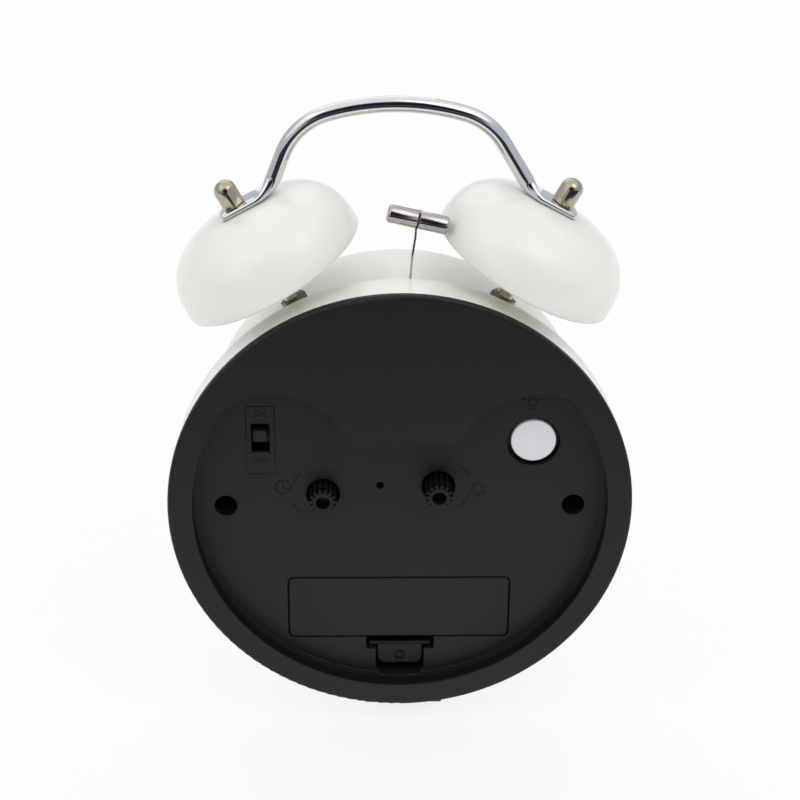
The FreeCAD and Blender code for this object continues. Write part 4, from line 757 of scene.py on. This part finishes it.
# Painted shade: a black ring that darkens the gap round the cap, where there is only shadow.
shade_ring = turned("button_shade_ring", [
    (5.68, -5.72), (6.6, -5.72), (6.6, -5.2), (5.68, -5.2)], steps=96)
put(shade_ring, about_clock(*BUTTON_PLACE))
hand_over(shade_ring, abs_black, "clock", "black_plastic")
dress(white_abs, "light_plunger", "light_switch", "dial_ring", "dial_frame")

# Movement shells: grey ABS, moulded in two halves that four screws hold together.
grey_abs, tree = new_material("moulded_grey_abs")
place = add_node(tree, "ShaderNodeTexCoord")
grain = add_node(tree, "ShaderNodeTexNoise", values={"Scale": 1500, "Detail": 2},
                 links={"Vector": place.outputs["Object"]})
tint = add_node(tree, "ShaderNodeValToRGB", links={"Fac": grain.outputs["Fac"]})
tint.color_ramp.elements[0].color = linear("#7E8083")
tint.color_ramp.elements[1].color = linear("#8A8C8E")
skin = add_node(tree, "ShaderNodeBump", values={"Strength": 0.1, "Distance": 0.0001},
                links={"Height": grain.outputs["Fac"]})
plastic = add_node(tree, "ShaderNodeBsdfPrincipled", values={"Roughness": 0.5, "IOR": 1.53},
                   links={"Base Color": tint.outputs["Color"], "Normal": skin.outputs["Normal"]})
add_node(tree, "ShaderNodeOutputMaterial", links={"Surface": plastic.outputs[0]})
dress(grey_abs, "movement_front", "movement_back")

# Wheels: cream acetal, moulded, slippery and slightly waxy, with faint flow lines.
acetal, tree = new_material("moulded_acetal")
place = add_node(tree, "ShaderNodeTexCoord")
flow = add_node(tree, "ShaderNodeTexNoise", values={"Scale": 300, "Detail": 3},
                links={"Vector": place.outputs["Object"]})
tint = add_node(tree, "ShaderNodeValToRGB", links={"Fac": flow.outputs["Fac"]})
tint.color_ramp.elements[0].color = linear("#E6E1D2")
tint.color_ramp.elements[1].color = linear("#EFEBDD")
plastic = add_node(tree, "ShaderNodeBsdfPrincipled", values={"Roughness": 0.35, "IOR": 1.48},
                   links={"Base Color": tint.outputs["Color"]})
add_node(tree, "ShaderNodeOutputMaterial", links={"Surface": plastic.outputs[0]})
dress(acetal, "second_wheel", "intermediate_wheel", "centre_wheel", "third_wheel",
      "minute_wheel", "hour_wheel", "alarm_wheel", "striker_wheel")

# Minute tube and motor pinion: turned brass, yellow with fine rings from the lathe.
brass, tree = new_material("turned_brass")
place = add_node(tree, "ShaderNodeTexCoord")
# Lathe rings 1 mm apart, coarser than the real ones, so that they show.
rings = add_node(tree, "ShaderNodeTexWave", {"bands_direction": "Y"},
                 {"Scale": 320, "Distortion": 0.6}, {"Vector": place.outputs["Object"]})
gloss = add_node(tree, "ShaderNodeMapRange", values={"To Min": 0.16, "To Max": 0.3},
                 links={"Value": rings.outputs["Fac"]})
metal = add_node(tree, "ShaderNodeBsdfPrincipled",
                 values={"Base Color": linear("#D2AE62"), "Metallic": 1.0},
                 links={"Roughness": gloss.outputs[0]})
add_node(tree, "ShaderNodeOutputMaterial", links={"Surface": metal.outputs[0]})
dress(brass, "minute_arbor", "striker_pinion")

# Circuit boards: glass fibre board under green solder mask, with the weave just showing.
board, tree = new_material("green_circuit_board")
place = add_node(tree, "ShaderNodeTexCoord")
# The weave is about 0.6 mm.
weave = add_node(tree, "ShaderNodeTexChecker", values={"Scale": 1600},
                 links={"Vector": place.outputs["Object"]})
tint = add_node(tree, "ShaderNodeValToRGB", links={"Fac": weave.outputs["Fac"]})
tint.color_ramp.elements[0].color = linear("#1E5A36")
tint.color_ramp.elements[1].color = linear("#236640")
mask = add_node(tree, "ShaderNodeBsdfPrincipled", values={"Roughness": 0.3, "IOR": 1.5},
                links={"Base Color": tint.outputs["Color"]})
add_node(tree, "ShaderNodeOutputMaterial", links={"Surface": mask.outputs[0]})
dress(board, "circuit_board", "switch_board")

# Motor coil: enamelled copper wire, wound in close turns along the bobbin.
copper, tree = new_material("wound_copper_wire")
place = add_node(tree, "ShaderNodeTexCoord")
# Turns 0.8 mm apart, coarser than the hair-thin wire, so that they show.
turns = add_node(tree, "ShaderNodeTexWave", {"bands_direction": "X"},
                 {"Scale": 400, "Distortion": 0.3}, {"Vector": place.outputs["Object"]})
tint = add_node(tree, "ShaderNodeValToRGB", links={"Fac": turns.outputs["Fac"]})
tint.color_ramp.elements[0].color = linear("#8A4A22")
tint.color_ramp.elements[1].color = linear("#C7773D")
winding = add_node(tree, "ShaderNodeBump", values={"Strength": 0.5, "Distance": 0.0001},
                   links={"Height": turns.outputs["Fac"]})
metal = add_node(tree, "ShaderNodeBsdfPrincipled", values={"Metallic": 0.8, "Roughness": 0.32},
                 links={"Base Color": tint.outputs["Color"],
                        "Normal": winding.outputs["Normal"]})
add_node(tree, "ShaderNodeOutputMaterial", links={"Surface": metal.outputs[0]})
dress(copper, "motor_coil")

# Battery: a steel can in a printed plastic sleeve, plain dark with a pale band at the
# plus end, and bare nickel at both ends.
sleeve, tree = new_material("battery_sleeve")
place = add_node(tree, "ShaderNodeTexCoord")
along = add_node(tree, "ShaderNodeSeparateXYZ", links={"Vector": place.outputs["Object"]})
spread = add_node(tree, "ShaderNodeMapRange", values={"From Min": -0.025, "From Max": 0.026},
                  links={"Value": along.outputs["X"]})
tint = add_node(tree, "ShaderNodeValToRGB", links={"Fac": spread.outputs[0]})
tint.color_ramp.interpolation = "CONSTANT"
tint.color_ramp.elements[0].color = linear("#232427")
tint.color_ramp.elements[1].position = 0.72
tint.color_ramp.elements[1].color = linear("#B98A3C")
bare = add_node(tree, "ShaderNodeValToRGB", links={"Fac": spread.outputs[0]})
bare.color_ramp.interpolation = "CONSTANT"
bare.color_ramp.elements[0].color = (1, 1, 1, 1)
bare.color_ramp.elements[1].position = 0.012
bare.color_ramp.elements[1].color = (0, 0, 0, 1)
end_band = bare.color_ramp.elements.new(0.965)
end_band.color = (1, 1, 1, 1)
film = add_node(tree, "ShaderNodeBsdfPrincipled", values={"Roughness": 0.25, "IOR": 1.5},
                links={"Base Color": tint.outputs["Color"]})
can = add_node(tree, "ShaderNodeBsdfPrincipled",
               values={"Base Color": linear("#C8C8C8"), "Metallic": 1.0, "Roughness": 0.2})
mixed = add_node(tree, "ShaderNodeMixShader",
                 links={0: bare.outputs["Color"], 1: film.outputs[0], 2: can.outputs[0]})
add_node(tree, "ShaderNodeOutputMaterial", links={"Surface": mixed.outputs[0]})
dress(sleeve, "battery_cell")

# Battery spring: a cone of steel wire coiled four times against the flat end of the cell.
COIL_STEPS = 120
SPRING_END = Vector((-27.3, -12.7 + REAR, -30.95 + AXIS_HEIGHT))
WIRE = 0.25
coils = []
for index in range(COIL_STEPS + 1):
    share = index / COIL_STEPS
    angle = 2 * math.pi * 4 * share
    outward = Vector((0, math.cos(angle), math.sin(angle)))
    spot = SPRING_END + Vector((2.1 * share, 0, 0)) + outward * (4.1 - 1.8 * share)
    coils.append((spot, Vector((1, 0, 0)), outward, WIRE, WIRE))
spring = drawn("cell_spring", coils, sides=10)
hand_over(spring, nickel, "clock", "nickel", "battery_spring")

# Dial: a white card with black print, behind a sheet of plain glass. Its hour marks are
# solid pieces, and the minute track and the figures 1 to 12 are printed on the card.
card, tree = new_material("printed_dial_card")
place = add_node(tree, "ShaderNodeTexCoord")
fibre = add_node(tree, "ShaderNodeTexNoise", values={"Scale": 900, "Detail": 4},
                 links={"Vector": place.outputs["Object"]})
tint = add_node(tree, "ShaderNodeValToRGB", links={"Fac": fibre.outputs["Fac"]})
tint.color_ramp.elements[0].color = linear("#ECECE8")
tint.color_ramp.elements[1].color = linear("#F4F4F1")
coat = add_node(tree, "ShaderNodeBsdfPrincipled", values={"Roughness": 0.6, "IOR": 1.45},
                links={"Base Color": tint.outputs["Color"]})
add_node(tree, "ShaderNodeOutputMaterial", links={"Surface": coat.outputs[0]})
dress(card, "dial")
ink, tree = new_material("black_printing_ink")
place = add_node(tree, "ShaderNodeTexCoord")
mottle = add_node(tree, "ShaderNodeTexNoise", values={"Scale": 1200, "Detail": 3},
                  links={"Vector": place.outputs["Object"]})
tint = add_node(tree, "ShaderNodeValToRGB", links={"Fac": mottle.outputs["Fac"]})
tint.color_ramp.elements[0].color = linear("#141416")
tint.color_ramp.elements[1].color = linear("#1D1D20")
coat = add_node(tree, "ShaderNodeBsdfPrincipled", values={"Roughness": 0.45, "IOR": 1.5},
                links={"Base Color": tint.outputs["Color"]})
add_node(tree, "ShaderNodeOutputMaterial", links={"Surface": coat.outputs[0]})
dress(ink, "dial_marks")
PRINT_LEVEL = -44.44 + REAR
FIGURE_RING = 30.5
TRACK_RING = 44.6
figures = []
for hour in range(1, 13):
    bpy.ops.object.select_all(action="DESELECT")
    bpy.ops.object.text_add(location=(0, 0, 0))
    figure = bpy.context.object
    figure.data.body = str(hour)
    figure.data.align_x = "CENTER"
    figure.data.align_y = "CENTER"
    figure.data.size = 8.2
    figure.data.extrude = 0.04
    figure.data.resolution_u = 6
    bpy.ops.object.convert(target="MESH")
    figure = bpy.context.object
    angle = math.radians(30 * hour)
    put(figure, Matrix.Translation((FIGURE_RING * math.sin(angle) * MM, PRINT_LEVEL * MM,
                                    (FIGURE_RING * math.cos(angle) + AXIS_HEIGHT) * MM))
        @ Matrix.Rotation(math.pi / 2, 4, "X") @ Matrix.Diagonal((MM, MM, MM, 1)))
    figures.append(figure)
bpy.ops.object.select_all(action="DESELECT")
bpy.ops.mesh.primitive_cube_add(size=1, location=(0, 0, 0))
ticks = bpy.context.object
ticks.scale = (0.35 * MM, 1.5 * MM, 0.08 * MM)
bpy.ops.object.transform_apply(location=False, rotation=False, scale=True)
bpy.ops.object.mode_set(mode="EDIT")
bpy.ops.mesh.select_all(action="SELECT")
bpy.ops.transform.translate(value=(0, TRACK_RING * MM, 0))
bpy.ops.mesh.spin(steps=60, angle=2 * math.pi, center=(0, 0, 0), axis=(0, 0, 1), dupli=True)
bpy.ops.mesh.select_all(action="SELECT")
bpy.ops.mesh.remove_doubles(threshold=1e-7)
bpy.ops.object.mode_set(mode="OBJECT")
put(ticks, Matrix.Translation((0, PRINT_LEVEL * MM, AXIS_HEIGHT * MM))
    @ Matrix.Rotation(math.pi / 2, 4, "X"))
hand_over(joined("dial_figures", [ticks] + figures), ink, "clock", "black_paint")

# Hands: stamped aluminium, lacquered black for the time and red for the alarm.
for name, dark_tone, light_tone, pieces in (
        ("black_hand_lacquer", "#131314", "#1B1B1D", ("hour_hand", "minute_hand", "second_hand")),
        ("red_hand_lacquer", "#A81C1C", "#B52222", ("alarm_hand",))):
    lacquer, tree = new_material(name)
    place = add_node(tree, "ShaderNodeTexCoord")
    mottle = add_node(tree, "ShaderNodeTexNoise", values={"Scale": 700, "Detail": 3},
                      links={"Vector": place.outputs["Object"]})
    tint = add_node(tree, "ShaderNodeValToRGB", links={"Fac": mottle.outputs["Fac"]})
    tint.color_ramp.elements[0].color = linear(dark_tone)
    tint.color_ramp.elements[1].color = linear(light_tone)
    edges = add_node(tree, "ShaderNodeBevel", {"samples": 4}, {"Radius": 0.0001})
    coat = add_node(tree, "ShaderNodeBsdfPrincipled", values={"Roughness": 0.3, "IOR": 1.5},
                    links={"Base Color": tint.outputs["Color"],
                           "Normal": edges.outputs["Normal"]})
    add_node(tree, "ShaderNodeOutputMaterial", links={"Surface": coat.outputs[0]})
    dress(lacquer, *pieces)

# Lens: flat window glass that the rolled edge of the case holds. The eye sees through it
# and gets a faint reflection of the room from its outer faces.
glass, tree = new_material("flat_window_glass")
place = add_node(tree, "ShaderNodeTexCoord")
ripple = add_node(tree, "ShaderNodeTexNoise", values={"Scale": 40, "Detail": 2},
                  links={"Vector": place.outputs["Object"]})
skin = add_node(tree, "ShaderNodeBump", values={"Strength": 0.02, "Distance": 0.0002},
                links={"Height": ripple.outputs["Fac"]})
through = add_node(tree, "ShaderNodeBsdfTransparent", values={"Color": linear("#FAFCFB")})
shine = add_node(tree, "ShaderNodeBsdfGlossy", values={"Roughness": 0.02},
                 links={"Normal": skin.outputs["Normal"]})
edge = add_node(tree, "ShaderNodeFresnel", values={"IOR": 1.5})
side = add_node(tree, "ShaderNodeNewGeometry")
outer = add_node(tree, "ShaderNodeMath", {"operation": "SUBTRACT"}, {0: 1.0},
                 {1: side.outputs["Backfacing"]})
shown = add_node(tree, "ShaderNodeMath", {"operation": "MULTIPLY"},
                 links={0: edge.outputs[0], 1: outer.outputs[0]})
mixed = add_node(tree, "ShaderNodeMixShader",
                 links={0: shown.outputs[0], 1: through.outputs[0], 2: shine.outputs[0]})
add_node(tree, "ShaderNodeOutputMaterial", links={"Surface": mixed.outputs[0]})
dress(glass, "front_lens")

# Dial lamp: a clear lamp body of cast resin under the ring, lit by the button.
resin, tree = new_material("cast_clear_resin")
place = add_node(tree, "ShaderNodeTexCoord")
cloud = add_node(tree, "ShaderNodeTexNoise", values={"Scale": 800, "Detail": 2},
                 links={"Vector": place.outputs["Object"]})
tint = add_node(tree, "ShaderNodeValToRGB", links={"Fac": cloud.outputs["Fac"]})
tint.color_ramp.elements[0].color = linear("#EFE7C6")
tint.color_ramp.elements[1].color = linear("#F6F0D6")
body = add_node(tree, "ShaderNodeBsdfPrincipled",
                values={"Roughness": 0.1, "IOR": 1.54, "Transmission Weight": 0.5},
                links={"Base Color": tint.outputs["Color"]})
add_node(tree, "ShaderNodeOutputMaterial", links={"Surface": body.outputs[0]})
dress(resin, "dial_lamp")
